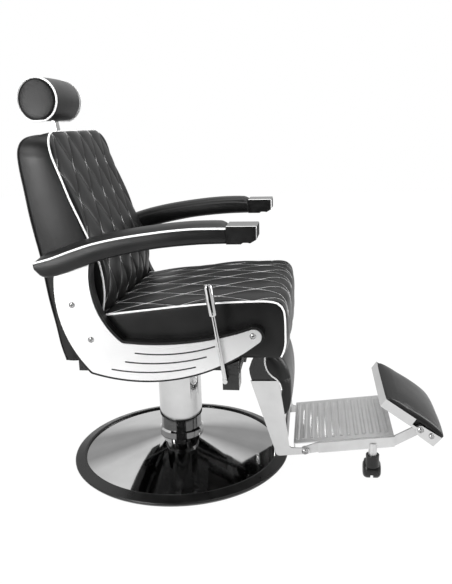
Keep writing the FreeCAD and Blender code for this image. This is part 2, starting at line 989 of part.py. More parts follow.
def padded(half_width, tuck, crown, section):
    """A cushion crowned across its width, whose sides draw in at the very edges."""
    half, inner = float(half_width), float(half_width) - 1.5 * float(tuck)
    shares = (-1, -0.5, 0, 0.5, 1)
    core = Part.makeLoft([section(share * inner, float(crown) * (1 - share * share), 0)
                          for share in shares], True, False)
    ends = [Part.makeLoft([section(sign * inner, 0, 0), section(sign * half, 0, float(tuck))],
                          True, True) for sign in (-1, 1)]
    return core.fuse(ends)


def make_seat_cushion():
    """Boxed seat cushion with a crowned top and a rounded front."""
    rear, front = float(d.seat_rear), float(d.seat_front)
    low = float(cushion_bottom)
    rear_top, front_top = float(d.seat_rear_top), float(d.seat_front_top)
    nose = float(d.seat_nose)

    def section(y, lift, pull):
        push = lift / 2
        top_rear = (rear + 14 + pull, rear_top + lift - pull)
        top_front = (front - nose, front_top + lift - pull)
        bend = (front - nose * 0.29 - pull * 0.7 + push * 0.7,
                front_top - nose * 0.29 + lift * 0.5 - pull * 0.7)
        face_top = (front + push - pull, front_top - nose)
        face_low = (front - 18 + push - pull, low + pull)
        return section_wire(y, [
            [(rear + pull, low + pull), (rear + pull, rear_top - 16)],
            [(rear + pull, rear_top - 16), (rear + 4 + pull, rear_top - 4 + lift * 0.7 - pull), top_rear],
            [top_rear, top_front],
            [top_front, bend, face_top],
            [face_top, (front + 3 + push - pull, (low + front_top - nose) / 2 + 20), face_low],
            [face_low, (rear + pull, low + pull)],
        ])

    keep("seat_cushion", shaped(padded(d.seat_half_width, d.seat_tuck, d.seat_crown, section)))


# Sides and arms


def side_edges(grow):
    """The swept outline of the side, grown outwards by a border."""
    g = float(grow)
    slope = float(d.arm_root_z - d.arm_foot_z) / float(d.arm_root_x - d.arm_foot_x)

    def under_arm(x):
        return float(d.arm_foot_z) + slope * (x - float(d.arm_foot_x))

    top_rear = float(d.side_top_rear) - g
    top_front = float(d.side_top_front) + g
    rear = at(top_rear, under_arm(top_rear))
    front = at(top_front, under_arm(top_front))
    bow = at(d.side_bow_x - g * 0.95, d.side_bow_z - g * 0.3)
    heel = at(d.side_heel_x - g * 0.8, d.side_heel_z - g)
    belly = at(d.side_belly_x, d.side_belly_z - g)
    nose = at(d.side_nose_x, d.side_nose_z)
    nose_round = float(d.side_nose_round) + g
    low = math.radians(-62)
    high = math.radians(103)
    nose_low = nose + Vector(nose_round * math.cos(low), 0, nose_round * math.sin(low))
    nose_tip = nose + Vector(nose_round, 0, 0)
    nose_high = nose + Vector(nose_round * math.cos(high), 0, nose_round * math.sin(high))
    waist = at(d.side_waist_x, d.side_waist_z + g)
    throat = at(d.side_throat_x + g * 0.4, d.side_throat_z + g)
    hook = at(d.side_hook_x + g * 0.9, d.side_hook_z + g * 0.3)
    return [
        arc(rear, bow, heel), arc(heel, belly, nose_low), arc(nose_low, nose_tip, nose_high),
        arc(nose_high, waist, throat), arc(throat, hook, front), line(front, rear),
    ]


def side_slab(grow, inner, thickness):
    """The side outline as a solid, with its heel and throat corners rounded."""
    solid = slab(side_edges(grow), inner, thickness)
    corners = []
    for edge in solid.Edges:
        middle = edge.CenterOfMass
        along_y = edge.BoundBox.XLength < 0.01 and edge.BoundBox.ZLength < 0.01
        near_heel = abs(middle.x - float(d.side_heel_x)) < 15 and middle.z < float(d.side_bow_z)
        near_throat = abs(middle.x - float(d.side_throat_x)) < 15 and middle.z < float(d.side_bow_z)
        if along_y and (near_heel or near_throat):
            corners.append(edge)
    return solid.makeFillet(float(d.side_corner_round), corners)


def screw_places():
    """Where the side's screws go: up the riser, at the bend and at the nose."""
    return [
        (d.side_hook_x - 68, d.side_hook_z + 22),
        (d.side_heel_x + 3, d.side_throat_z + 9),
        (d.side_nose_x - 2, d.side_nose_z + 3),
    ]


def groove_lines():
    """The plate's three long grooves, each by its rear, middle and front point."""
    x, z = float(d.side_belly_x), float(d.side_belly_z)
    return [
        ((x - 85, z + 73), (x - 16, z + 70), (x + 132, z + 95)),
        ((x - 113, z + 48), (x - 18, z + 45), (x + 109, z + 66)),
        ((x - 152, z + 26), (x - 48, z + 19), (x + 79, z + 37)),
    ]


def groove_tool(points, face_at):
    """A curved slot of constant width, to cut into the outer face."""
    start, middle, end = [Vector(x, 0, z) for x, z in points]
    centre = arc(start, middle, end).Curve.Center
    half = float(d.groove_width) / 2

    def shifted(point, change):
        away = point - centre
        return point + away * (change / away.Length)

    inner = [shifted(point, -half) for point in (start, middle, end)]
    outer = [shifted(point, half) for point in (start, middle, end)]
    edges = [arc(*inner), line(inner[2], outer[2]), arc(*reversed(outer)), line(outer[0], inner[0])]
    return slab(edges, face_at, d.groove_depth * 2)


def make_sides():
    """Black side boards, and the bright grooved plates screwed to them."""
    holes = [slab([Part.Circle(at(x, z), Vector(0, 1, 0), float(d.screw_radius + 0.2)).toShape()],
                  side_inner, side_outer - side_inner) for x, z in screw_places()]
    board = side_slab(d.side_border, side_inner, d.side_board_thick)
    face = side_slab(0, side_plate_inner, d.side_plate_thick)
    grooves = [groove_tool(points, side_outer - d.groove_depth) for points in groove_lines()]
    board = board.cut(holes)
    face = face.cut(holes + grooves)
    for side, sign in SIDES:
        board_form = board if sign > 0 else mirrored(board)
        face_form = face if sign > 0 else mirrored(face)
        keep("side_board_" + side, shaped(board_form))
        keep("side_plate_" + side, shaped(face_form))


def make_plate_screws():
    """Screws through the side plates into the boards."""
    screws = []
    for _, sign in SIDES:
        for x, z in screw_places():
            head = cross_pin(d.screw_head_radius, x, z, side_outer,
                             side_outer + d.screw_head_height, sign)
            shank = cross_pin(d.screw_radius, x, z, side_outer - d.screw_length, side_outer, sign)
            screws.append(fuse(head, shank))
    keep("plate_screws", group(*screws))


def make_arm_pads():
    """Padded arms, curving up from the side boards to level at the front."""
    rear, front = float(d.arm_rear), float(d.arm_front)
    foot = (float(d.arm_foot_x), float(d.arm_foot_z))
    root = (float(d.arm_root_x), float(d.arm_root_z))
    under, top = float(d.arm_under_z), float(d.arm_top_z)
    half = float(d.arm_width) / 2

    def section(y, lift, pull):
        heel_low = (foot[0] - 16 + pull, foot[1] + 3 + pull)
        heel_high = (rear + pull, foot[1] + 26)
        top_rear = (rear + 12 + pull, foot[1] + 44 + lift - pull)
        under_front = (front, under + pull)
        top_front = (front, top + lift - pull)
        foot_at = (foot[0], foot[1] + pull)
        root_at = (root[0], root[1] + pull)
        middle = (root[0] + front) / 2
        return section_wire(y, [
            [foot_at, root_at],
            [root_at, (middle, (root[1] + under) / 2 + 14 + pull), under_front],
            [under_front, top_front],
            [top_front, (rear * 0.3 + front * 0.2, top - 18 + lift - pull), top_rear],
            [top_rear, (rear + 3 + pull, foot[1] + 37 + lift * 0.7 - pull), heel_high],
            [heel_high, (rear + 7 + pull, foot[1] + 10 + pull), heel_low],
            [heel_low, foot_at],
        ])

    form = padded(half, 3, d.arm_crown, section)
    form.translate(Vector(0, float(arm_inner) + half, 0))
    keep("arm_pad_left", shaped(form))
    keep("arm_pad_right", shaped(mirrored(form)))


def make_arm_caps():
    """Bright blocks on the front ends of the arms."""
    x, length, notch = d.arm_front, d.cap_length, d.cap_notch
    top = d.arm_top_z + 4
    low = top - d.cap_height
    outline = [
        (x, low), (x + length * 0.48, low), (x + length * 0.58, low + notch),
        (x + length * 0.78, low + notch * 0.4), (x + length, low + notch * 2),
        (x + length, top), (x, top),
    ]
    for side, sign in SIDES:
        middle = (arm_inner + d.arm_width / 2) * sign
        body = plate(outline, d.arm_width, middle)
        reach = float(x + length)

        def end_or_top(edge):
            box_of = edge.BoundBox
            at_top = box_of.ZMin > float(top) - 0.01
            at_end = box_of.XMin > reach - 0.01
            return at_top and not at_end and box_of.XMax > float(x) + 1 or at_end

        keep("arm_cap_" + side, round_edges(body, d.cap_round, end_or_top))


# Recline lever and lock


def make_lever_bracket():
    """Open-bottomed box at the end of the front tube, which carries the lever's shaft."""
    start_x = d.lever_x - d.lever_box_behind
    end_x = start_x + d.lever_box_length
    low = tube_bottom - d.lever_box_height
    wall = d.lever_box_wall
    outer_y = -(side_plate_inner - d.lever_box_inset)
    lower = box(d.lever_box_length, d.lever_box_width, d.lever_box_height, start_x, outer_y, low)
    cheek = side_plate_inner - d.lever_box_inset - side_inner
    upper = plate([(start_x, low), (end_x, low), (end_x, d.lever_box_front_top),
                   (start_x, d.lever_box_rear_top)], cheek, -(side_inner + cheek / 2))
    inside = box(d.lever_box_length - wall * 2, d.lever_box_width - wall * 2, d.lever_box_height,
                 start_x + wall, outer_y + wall, low - wall)
    bore = cylinder(d.lever_shaft_radius + d.running_gap, d.lever_box_width * 2, d.lever_x,
                    outer_y - d.lever_box_width / 2, d.lever_z, "Y")
    keep("lever_bracket", cut(fuse(lower, upper), inside, bore))


def lever_direction():
    """Which way the lever points from its shaft: up, leaning to the rear."""
    lean = math.radians(float(d.lever_lean))
    return Vector(-math.sin(lean), 0, math.cos(lean))


def make_lever():
    """Lever on the right side: shaft, hub, rod, finger and grip."""
    outer = d.lever_side + d.lever_hub_radius
    inner = d.lock_side - d.lock_radius
    shaft = cylinder(d.lever_shaft_radius, outer - inner, d.lever_x, -outer, d.lever_z, "Y")
    hub = cylinder(d.lever_hub_radius, d.lever_hub_radius * 2, d.lever_x, -outer, d.lever_z, "Y")
    finger = box(d.lever_finger, d.lever_finger_width, d.lever_finger, d.lever_x - d.lever_finger,
                 -(d.lock_side + d.lever_finger_width / 2), d.lever_z - d.lever_finger)
    start = at(d.lever_x, d.lever_z, -float(d.lever_side))
    way = lever_direction()
    rod = shaped(Part.makeCylinder(float(d.lever_rod_radius), float(d.lever_rod_length), start, way))
    keep("lever_shaft", fuse(shaft, hub, rod, finger))
    grip_start = start + way * (float(d.lever_rod_length) + float(d.seat_gap))
    radius, length = float(d.lever_grip_radius), float(d.lever_grip_length)
    lower = Part.makeCone(radius * 0.7, radius, length * 0.12, grip_start, way)
    middle = Part.makeCylinder(radius, length * 0.72, grip_start + way * (length * 0.12), way)
    upper = Part.makeCone(radius, radius * 0.75, length * 0.16, grip_start + way * (length * 0.84), way)
    keep("lever_grip", shaped(lower.fuse([middle, upper]).removeSplitter()))


def make_lock_cylinder():
    """Recline lock: a strut body hung under the rear tube, with its valve pin in front."""
    rear = d.rear_tube_start
    barrel = cylinder(d.lock_radius, d.lock_front - rear, rear, -d.lock_side, lock_height, "X")
    valve = cylinder(d.lock_valve_radius, d.lock_valve * 2, d.lock_front - d.lock_valve,
                     -d.lock_side, lock_height, "X")
    long, wide = d.tube_side - d.lock_saddle_inset * 2, d.lock_saddle_width
    saddle = box(long, wide, tube_bottom - lock_height, rear + d.lock_saddle_inset,
                 -(d.lock_side + wide / 2), lock_height)
    strap = box(long, wide, board_bottom - lock_height, d.lock_front - d.lock_strap_back,
                -(d.lock_side + wide / 2), lock_height)
    bore = cylinder(d.lock_rod_radius + d.running_gap, d.lock_bore_end - rear + d.lock_radius,
                    rear - d.lock_radius, -d.lock_side, lock_height, "X")
    keep("lock_cylinder", cut(fuse(barrel, valve, saddle, strap), bore))


def make_lock_rod():
    """Sliding rod of the recline lock, with a slotted eye round the back's pin."""
    eye_x = back_link_x - d.lock_eye_width / 2
    rod_start = back_link_x + d.lock_slot_width / 2 + d.lock_eye_wall
    rod = cylinder(d.lock_rod_radius, d.lock_rod_end - rod_start, rod_start, -d.lock_side,
                   lock_height, "X")
    thick = d.link_thick
    eye = box(d.lock_eye_width, thick, d.lock_eye_height, eye_x, -(d.lock_side + thick / 2),
              lock_height - d.lock_eye_height / 2)
    slot = box(d.lock_slot_width, thick * 2, d.lock_slot_height, back_link_x - d.lock_slot_width / 2,
               -(d.lock_side + thick), lock_height - d.lock_slot_height / 2)
    keep("lock_rod", cut(fuse(rod, eye), slot))


# Back


def lever_plate(pivot_x, pivot_z, end_x, end_z, inner, thickness, first, second):
    edges = bar_outline(at(pivot_x, pivot_z), at(end_x, end_z), float(first), float(second))
    return slab(edges, inner, thickness)


def make_back_frame():
    """Pivot tube, hinge arms and the two lever plates that hang from it."""
    x, z = d.back_pivot_x, d.back_pivot_z
    tube_half = hinge_arm_inner
    tube = cylinder(d.pivot_tube_radius, tube_half * 2, x, -tube_half, z, "Y")
    eye, top, lean = d.hinge_arm_eye, z + d.hinge_arm_rise, x - d.hinge_arm_lean
    knee = z + eye * 1.2
    outline = [
        (x - eye * 1.1, z - eye), (x + eye, z - eye), (x + eye, knee), (x - eye, top),
        (lean, top), (lean, top - d.hinge_arm_grip), (x - eye * 1.5, knee),
    ]
    solids = []
    for _, sign in SIDES:
        middle = (hinge_arm_inner + d.hinge_arm_thick / 2) * sign
        hole = cylinder(d.back_pin_radius + d.running_gap, d.hinge_arm_thick * 2, x,
                        middle - d.hinge_arm_thick, z, "Y")
        solids.append(cut(plate(outline, d.hinge_arm_thick, middle), hole))
    tube_round = d.pivot_tube_radius + d.lever_plate_wall
    lock_plate = shaped(lever_plate(x, z, back_link_x, back_link_z, lock_plate_inner,
                                    d.hinge_arm_thick, tube_round, d.link_eye))
    lock_pin = cylinder(d.link_pin, d.hinge_arm_thick + d.side_play + d.link_thick, back_link_x,
                        lock_plate_inner, back_link_z, "Y")
    link_plate = shaped(lever_plate(x, z, back_link_x, back_link_z, link_plate_inner,
                                    d.hinge_arm_thick, tube_round, d.link_eye))
    link_pin = cylinder(d.link_pin, d.hinge_arm_thick + d.side_play + d.link_thick, back_link_x,
                        link_plate_inner, back_link_z, "Y")
    core = fuse(tube, lock_plate, lock_pin, link_plate, link_pin)
    keep("back_frame", group(core, *solids))


def post_box(thick, width, bottom, top):
    """A block along the headrest post, by distances from the roll's centre."""
    block = box(thick, width, top - bottom, -(thick / 2), -(width / 2), bottom)
    holder = group(block)
    return place(holder, d.roll_x, 0, d.roll_z, Vector(0, 1, 0), -d.post_lean)


def back_front_view():
    """The back seen from in front, with rounded top corners, as a deep solid."""
    half, corner = float(d.back_half_width), float(d.back_corner)
    top, low = float(d.back_top_front_z) + 1, float(d.back_bottom) - 5
    bend = corner * (1 - math.sqrt(0.5))

    def spot(y, z):
        return Vector(-600, y, z)

    edges = [
        line(spot(-half, low), spot(half, low)), line(spot(half, low), spot(half, top - corner)),
        arc(spot(half, top - corner), spot(half - bend, top - bend), spot(half - corner, top)),
        line(spot(half - corner, top), spot(corner - half, top)),
        arc(spot(corner - half, top), spot(bend - half, top - bend), spot(-half, top - corner)),
        line(spot(-half, top - corner), spot(-half, low)),
    ]
    return Part.Face(Part.Wire(edges)).extrude(Vector(600, 0, 0))


def make_back_shell():
    """Rear shell of the back, with a channel for the headrest's socket."""
    outline = [
        (d.back_heel_x, d.back_bottom), (d.shell_foot_x, d.back_bottom),
        (d.shell_foot_x, d.cushion_foot_z), (d.shell_head_x, d.back_top_rear_z + 6),
        (d.back_top_rear_x + 12, d.back_top_rear_z), (d.back_top_rear_x, d.back_top_rear_z - 14),
        (d.back_middle_x, d.back_middle_z),
    ]
    body = plate(outline, d.back_half_width * 2)
    form = doc.addObject("Part::Common", "Rounded")
    form.Base = body
    form.Tool = shaped(back_front_view())
    channel = post_box(d.post_thick + socket_room, d.post_width + socket_room,
                       -d.socket_bottom, -(d.socket_top - 40))
    room = d.side_play * 1.5
    slots = [box(d.shell_foot_x - d.back_heel_x - 16, d.hinge_arm_thick + room * 2,
                 d.back_pivot_z - d.back_bottom, d.back_heel_x + 16, start - room, d.back_bottom - 1)
             for start in (lock_plate_inner, link_plate_inner)]
    keep("back_shell", cut(form, channel, *slots))


def make_back_cushion():
    """Front cushion of the back: full at the lumbar, crowned, with rounded top corners."""
    foot_z, foot_x = float(d.cushion_foot_z), float(d.cushion_foot_x)
    lumbar = (float(d.cushion_lumbar_x), float(d.cushion_lumbar_z))
    bend = (float(d.cushion_bend_x), float(d.cushion_bend_z))
    top = float(d.back_top_front_z)
    shell_foot, shell_head = float(d.shell_foot_x), float(d.shell_head_x)
    shell_slope = (shell_head - shell_foot) / (float(d.back_top_rear_z) + 6 - foot_z)
    face_slope = (float(d.back_top_front_x) + 22 - bend[0]) / (top - bend[1])

    def section(y, lift, pull):
        push = lift - pull
        low = foot_z + pull
        top_front = (bend[0] + face_slope * (top - 14 - bend[1]) + push, top - 14)
        top_edge = (top_front[0] - 16, top)
        top_rear = (shell_foot + shell_slope * (top - 3 - foot_z), top - 3)
        return section_wire(y, [
            [(shell_foot + shell_slope * (low - foot_z), low), (foot_x + push, low)],
            [(foot_x + push, low), (lumbar[0] + push, lumbar[1]), (bend[0] + push, bend[1])],
            [(bend[0] + push, bend[1]), top_front],
            [top_front, (top_front[0] - 4, top - 4), top_edge],
            [top_edge, top_rear],
            [top_rear, (shell_foot + shell_slope * (low - foot_z), low)],
        ])

    form = padded(d.back_half_width, d.back_tuck, d.back_crown, section)
    keep("back_cushion", shaped(form.common(back_front_view())))


def make_post_socket():
    """Tube inside the back that guides the headrest post."""
    gap = d.running_gap * 4
    outside = post_box(d.post_thick + socket_room, d.post_width + socket_room,
                       -d.socket_bottom, -d.socket_top)
    inside = post_box(d.post_thick + gap, d.post_width + gap, -(d.socket_bottom + 5),
                      -(d.socket_top - 5))
    keep("post_socket", cut(outside, inside))


# Headrest


def make_headrest():
    """Padded roll on a flat post."""
    keep("head_post", post_box(d.post_thick, d.post_width, -d.post_below, d.post_above))
    half, bulge = float(d.roll_half_length), float(d.roll_end_bulge)
    radius, corner = float(d.roll_radius), float(d.roll_edge_round)
    end_radius = radius - float(d.roll_barrel)
    reach = half + bulge

    def spot(y, out):
        return Vector(0, y, out)

    bend = corner * 0.29
    rise = end_radius - corner
    dome = (bulge * bulge + rise * rise) / (2 * bulge)
    swing = math.asin(rise / dome) / 2
    cap_middle = (reach - dome + dome * math.cos(swing), dome * math.sin(swing))
    edges = [
        line(spot(-reach, 0), spot(reach, 0)),
        arc(spot(reach, 0), spot(*cap_middle), spot(half, rise)),
        arc(spot(half, rise), spot(half - bend, end_radius - bend), spot(half - corner, end_radius)),
        arc(spot(half - corner, end_radius), spot(0, radius), spot(corner - half, end_radius)),
        arc(spot(corner - half, end_radius), spot(bend - half, end_radius - bend), spot(-half, rise)),
        arc(spot(-half, rise), spot(-cap_middle[0], cap_middle[1]), spot(-reach, 0)),
    ]
    face = Part.Face(Part.Wire(edges))
    roll = face.revolve(Vector(0, 0, 0), Vector(0, 1, 0), 360)
    form = place(shaped(roll), d.roll_x, 0, d.roll_z)
    pocket = post_box(d.post_thick, d.post_width, -(d.roll_radius + 10), d.post_above)
    keep("head_roll", cut(form, pocket))


# Link and legrest


def make_link_rod():
    """Rod that makes the legrest rise as the back goes down."""
    first, second = at(back_link_x, back_link_z), at(leg_link_x, leg_link_z)
    bar = slab(bar_outline(first, second, float(d.link_eye), float(d.link_eye)), d.link_side,
               d.link_thick)
    holes = [Part.makeCylinder(float(d.link_pin + d.running_gap), float(d.link_thick) * 2,
                               spot + Vector(0, float(d.link_side) - 4, 0), Vector(0, 1, 0))
             for spot in (first, second)]
    keep("link_rod", shaped(bar.cut(holes)))


def calf_rear_curve():
    """Curve where the calf pad meets the leg brackets: top, middle and lower end."""
    top = at(d.calf_rear_x, d.calf_top)
    middle = at(d.calf_rear_x + 1, d.calf_top - 41)
    end = at(d.leg_top_front - 1, d.leg_top_z)
    return top, middle, end


def make_leg_brackets():
    """Black hinge castings inside the tops of the leg plates."""
    x, z = d.leg_pivot_x, d.leg_pivot_z
    eye = d.leg_pin_radius + 5
    top, middle, end = calf_rear_curve()
    rear = float(d.leg_top_rear)
    low = float(d.leg_bracket_low)
    shin = float(d.leg_shin_x) - (low - float(d.leg_shin_z)) * 0.18 - 8
    points = [
        at(shin, low), at(rear + 26, low), at(rear + 3, d.leg_top_z - 2), at(rear - 2, z - 72),
        at(rear - 4, z - 55), at(rear + 3, z - 33), at(rear + 11, z - 17), at(rear + 26, z - 3),
        at(x - 10, z + eye - 3), at(x, z + eye),
    ]
    edges = [line(start, finish) for start, finish in zip(points, points[1:])]
    under = at(x, z - eye)
    edges.append(arc(points[-1], at(x + eye, z), under))
    edges.append(line(under, top))
    edges.append(arc(top, middle, end))
    edges.append(line(end, points[0]))
    form = slab(edges, leg_bracket_inner, d.leg_bracket_thick)
    hole = Part.makeCylinder(float(d.leg_pin_radius + d.running_gap), 40,
                             at(x, z, leg_bracket_inner - 10), Vector(0, 1, 0))
    form = form.cut(hole)
    link_pin = Part.makeCylinder(float(d.link_pin), float(leg_bracket_inner - d.link_side + 1),
                                 at(leg_link_x, leg_link_z, d.link_side - 1), Vector(0, 1, 0))
    left = form.fuse(link_pin)
    keep("leg_brackets", group(shaped(left), shaped(mirrored(form))))


def make_leg_plates():
    """Bright legs that taper down and turn forward into feet."""
    top_rear = at(d.leg_top_rear, d.leg_top_z - 3)
    top_front = at(d.leg_top_front, d.leg_top_z - 1)
    ankle = at(d.leg_ankle_x, d.leg_ankle_z)
    shin = at(d.leg_shin_x, d.leg_shin_z)
    instep = at(d.leg_ankle_x + 9, d.leg_foot_top)
    x, z = float(d.foot_pivot_x), float(d.foot_pivot_z)
    toe_top = at(x + 5, d.leg_foot_top)
    toe = at(x + float(d.foot_round), z)
    toe_low = at(x + 4, d.leg_foot_bottom + d.foot_taper)
    sole = at(d.leg_heel_x + 12, d.leg_foot_bottom)
    heel = at(d.leg_heel_x, d.leg_foot_bottom + 13)
    edges = [
        line(top_rear, top_front), arc(top_front, shin, ankle),
        arc(ankle, at(d.leg_ankle_x + 3, d.leg_foot_top + 3), instep), line(instep, toe_top),
        arc(toe_top, toe, toe_low), line(toe_low, sole),
        arc(sole, at(d.leg_heel_x + 3, d.leg_foot_bottom + 4), heel), line(heel, top_rear),
    ]
    form = slab(edges, leg_inner, d.leg_plate_thick)
    hole = Part.makeCylinder(float(d.foot_pin_radius), 40, at(x, z, leg_inner - 10), Vector(0, 1, 0))
    form = form.cut(hole)
    keep("leg_plate_left", shaped(form))
    keep("leg_plate_right", shaped(mirrored(form)))


def make_leg_tubes():
    """Round tubes that tie the legs together, one behind the calf pad and one low."""
    touch = d.leg_tube_radius + d.seat_gap
    upper_x = d.leg_top_front + (d.leg_top_z - d.leg_tube_z) * 0.15 - touch
    upper = cylinder(d.leg_tube_radius, leg_bracket_inner * 2, upper_x, -leg_bracket_inner,
                     d.leg_tube_z, "Y")
    lower = cylinder(d.leg_tube_radius, leg_inner * 2, d.leg_low_tube_x, -leg_inner,
                     d.leg_low_tube_z, "Y")
    keep("leg_tubes", group(upper, lower))


def make_calf_pad():
    """Padded calf rest ahead of the legs."""
    top, middle, end = calf_rear_curve()
    front, high, low = float(d.calf_front_x), float(d.calf_top), float(d.calf_bottom)
    thick = float(d.calf_thick)
    shin_low = float(d.leg_shin_x) + 0.4

    def section(y, lift, pull):
        push = lift - pull
        front_low = (shin_low + thick * 0.45 + push, low + 8)
        knee = (front + 22 + push, high - 72)
        brow = (front - 6 + push, high - 8 - pull)
        return section_wire(y, [
            [(top.x, high), (front - 24 + push, high)],
            [(front - 24 + push, high), (front - 14 + push, high - 2.5 - pull / 2), brow],
            [brow, (front + 13 + push, high - 35), knee],
            [knee, (front + 26 + push, (high - 72 + low) / 2 + 10), front_low],
            [front_low, (shin_low + 1, low)],
            [(shin_low + 1, low), (end.x + 3.5, end.z)],
            [(end.x + 3.5, end.z), (end.x, end.z)],
            [(end.x, end.z), (middle.x, middle.z), (top.x, high)],
        ])

    keep("calf_pad", shaped(padded(d.calf_half_width, d.calf_tuck, d.calf_crown, section)))


def make_foot_bolts():
    """Bolts that hinge the platform on the feet of the legs."""
    bolts = []
    for _, sign in SIDES:
        shank = cross_pin(d.foot_pin_radius, d.foot_pivot_x, d.foot_pivot_z, bar_inner,
                          d.leg_outer + 1, sign)
        head = cross_pin(d.foot_head_radius, d.foot_pivot_x, d.foot_pivot_z, d.leg_outer,
                         d.leg_outer + d.foot_head_height, sign)
        bolts.append(fuse(shank, head))
    keep("foot_bolts", group(*bolts))


# Platform


def tread_height(x):
    """Height of the rails' top edge at a distance forward."""
    rise = math.tan(math.radians(float(d.tread_slope)))
    return d.tread_front_z - (d.tread_front - x) * rise


def make_platform_rails():
    """Bent bars each side of the tread, hinged at the rear and turned up in front."""
    x, z, boss = d.foot_pivot_x, d.foot_pivot_z, d.bar_boss
    px, pz = d.pad_pivot_x, d.pad_pivot_z
    step = d.bar_start + 5
    thin = [
        (x, z - boss + 1), (step, tread_height(step) - d.bar_depth),
        (d.tread_front, d.tread_front_z - d.bar_depth), (px + 2, pz - boss),
        (px, pz + boss), (px - 25, pz + boss - 9), (d.tread_front, d.tread_front_z),
        (step, tread_height(step)), (x, z + boss - 1),
    ]
    thick = [
        (d.bar_start, tread_height(d.bar_start) - d.bar_depth + 3),
        (step, tread_height(step) - d.bar_depth), (d.tread_front, d.tread_front_z - d.bar_depth),
        (d.tread_front, d.tread_front_z), (d.bar_start, tread_height(d.bar_start)),
    ]
    cx = d.caster_x
    socket_low = d.caster_cap_top + d.seat_gap
    for side, sign in SIDES:
        bar = plate(thin, d.bar_thick, (d.bar_outer - d.bar_thick / 2) * sign)
        web = plate(thick, d.bar_web, (d.bar_outer + d.bar_web / 2) * sign)
        bosses = [cross_pin(boss, bx, bz, bar_inner, d.bar_outer, sign)
                  for bx, bz in ((x, z), (px, pz))]
        socket = cylinder(d.caster_stem_radius, tread_height(cx) - d.bar_depth / 2 - socket_low, cx,
                          caster_side * sign, socket_low)
        holes = [
            cross_pin(d.foot_pin_radius + d.running_gap, x, z, bar_inner - 5, d.bar_outer + 5, sign),
            cross_pin(d.pad_pin_radius, px, pz, bar_inner - 5, d.bar_outer + 5, sign),
            cylinder(d.caster_pin_radius + d.running_gap, d.caster_pin_length + 10, cx,
                     caster_side * sign, socket_low - 8),
        ]
        keep("platform_rail_" + side, cut(fuse(bar, web, socket, *bosses), *holes))


def make_tread():
    """Ribbed plate that the feet rest on."""
    length = d.tread_front - d.tread_rear
    half = d.bar_outer - d.running_gap * 10
    body = doc.addObject("PartDesign::Body", "Tread")
    lip, thick = -d.tread_lip, d.tread_thick
    outline = sketch_polygon(body, "XZ_Plane", [
        (0, lip), (thick, lip), (thick, 0), (length, 0), (length, thick), (0, thick),
    ])
    sheet = body.newObject("PartDesign::Pad", "Sheet")
    sheet.Profile = outline
    sheet.Midplane = True
    bind(sheet, "Length", half * 2)
    first = d.rib_pitch / 2 - d.rib_width / 2
    rib_outline = sketch_polygon(body, "XZ_Plane", [
        (first, thick), (first + d.rib_width, thick),
        (first + d.rib_width * 0.7, thick + d.rib_height),
        (first + d.rib_width * 0.3, thick + d.rib_height),
    ])
    rib = body.newObject("PartDesign::Pad", "Rib")
    rib.Profile = rib_outline
    rib.Midplane = True
    bind(rib, "Length", half * 2 - d.rib_margin * 2)
    ribs = body.newObject("PartDesign::LinearPattern", "Ribs")
    ribs.Originals = [rib]
    ribs.Direction = (plane_of(body, "X_Axis"), [""])
    ribs.Mode = "Spacing"
    bind(ribs, "Offset", d.rib_pitch)
    ribs.Occurrences = int(float(d.rib_count))
    body.Tip = ribs
    rear_z = tread_height(d.tread_rear)
    keep("tread_plate", place(body, d.tread_rear, 0, rear_z, Vector(0, 1, 0), -d.tread_slope))


def make_pad_bolts():
    """Pins that the foot pad flips over on."""
    bolts = []
    outer = d.bar_outer + d.side_play + d.pad_bracket_thick
    for _, sign in SIDES:
        shank = cross_pin(d.pad_pin_radius, d.pad_pivot_x, d.pad_pivot_z, bar_inner, outer + 1, sign)
        head = cross_pin(d.pad_pin_radius + 4, d.pad_pivot_x, d.pad_pivot_z, outer + 0.3,
                         outer + 3.3, sign)
        bolts.append(fuse(shank, head))
    keep("pad_bolts", group(*bolts))


# Foot pad


def on_pad(thing):
    """Moves a piece drawn along the pad to its sloping place on the pivot."""
    lean = d.pad_slope
    x = d.pad_pivot_x - d.pad_pivot_along * cosine(lean) - d.pad_pivot_over * sine(lean)
    z = d.pad_pivot_z + d.pad_pivot_along * sine(lean) - d.pad_pivot_over * cosine(lean)
    return place(thing, x, 0, z, Vector(0, 1, 0), lean)


def make_pad_tray():
    """Bright tray under the foot pad, with a turned-up rim and side brackets."""
    wall, rim = d.pad_flange, d.pad_flange_height
    half, narrow, channel = d.pad_half_width, d.pad_narrow, d.pad_channel_length
    bracket_inner_y = d.bar_outer + d.side_play
    floor = box(d.pad_length - 4, narrow * 2, wall, 0, -narrow, 0)
    wide_floor = box(channel, half * 2, wall, 0, -half, 0)
    rear = box(wall, half * 2, rim, 0, -half, 0)
    parts = [floor, wide_floor, rear]
    holes = []
    left, top, drop = d.pad_bracket_start, d.pad_bracket_top, d.pad_bracket_drop
    outline = [
        (channel - 8, 0), (left + 1, 0), (left + 8, -(drop * 0.4)), (left + 19, -(drop * 0.85)),
        (d.pad_length - 4, -drop), (d.pad_length, top), (left + 9, top - 3), (left + 3, top - 7),
        (left, wall * 2.5), (channel - 8, wall * 2.5),
    ]
    outer_y = bracket_inner_y + d.pad_bracket_thick
    for _, sign in SIDES:
        start = half - wall if sign > 0 else -half
        parts.append(box(channel, wall, rim, 0, start, 0))
        middle = (bracket_inner_y + d.pad_bracket_thick / 2) * sign
        parts.append(plate(outline, d.pad_bracket_thick, middle))
        parts.append(cross_pin(d.pad_rivet_radius, d.pad_rivet_along, d.pad_rivet_over,
                               bracket_inner_y, outer_y + d.pad_rivet_height, sign))
        holes.append(cross_pin(d.pad_pin_radius + d.running_gap, d.pad_pivot_along, d.pad_pivot_over,
                               bracket_inner_y - 2, outer_y + 2, sign))
    keep("pad_tray", on_pad(cut(fuse(*parts), *holes)))


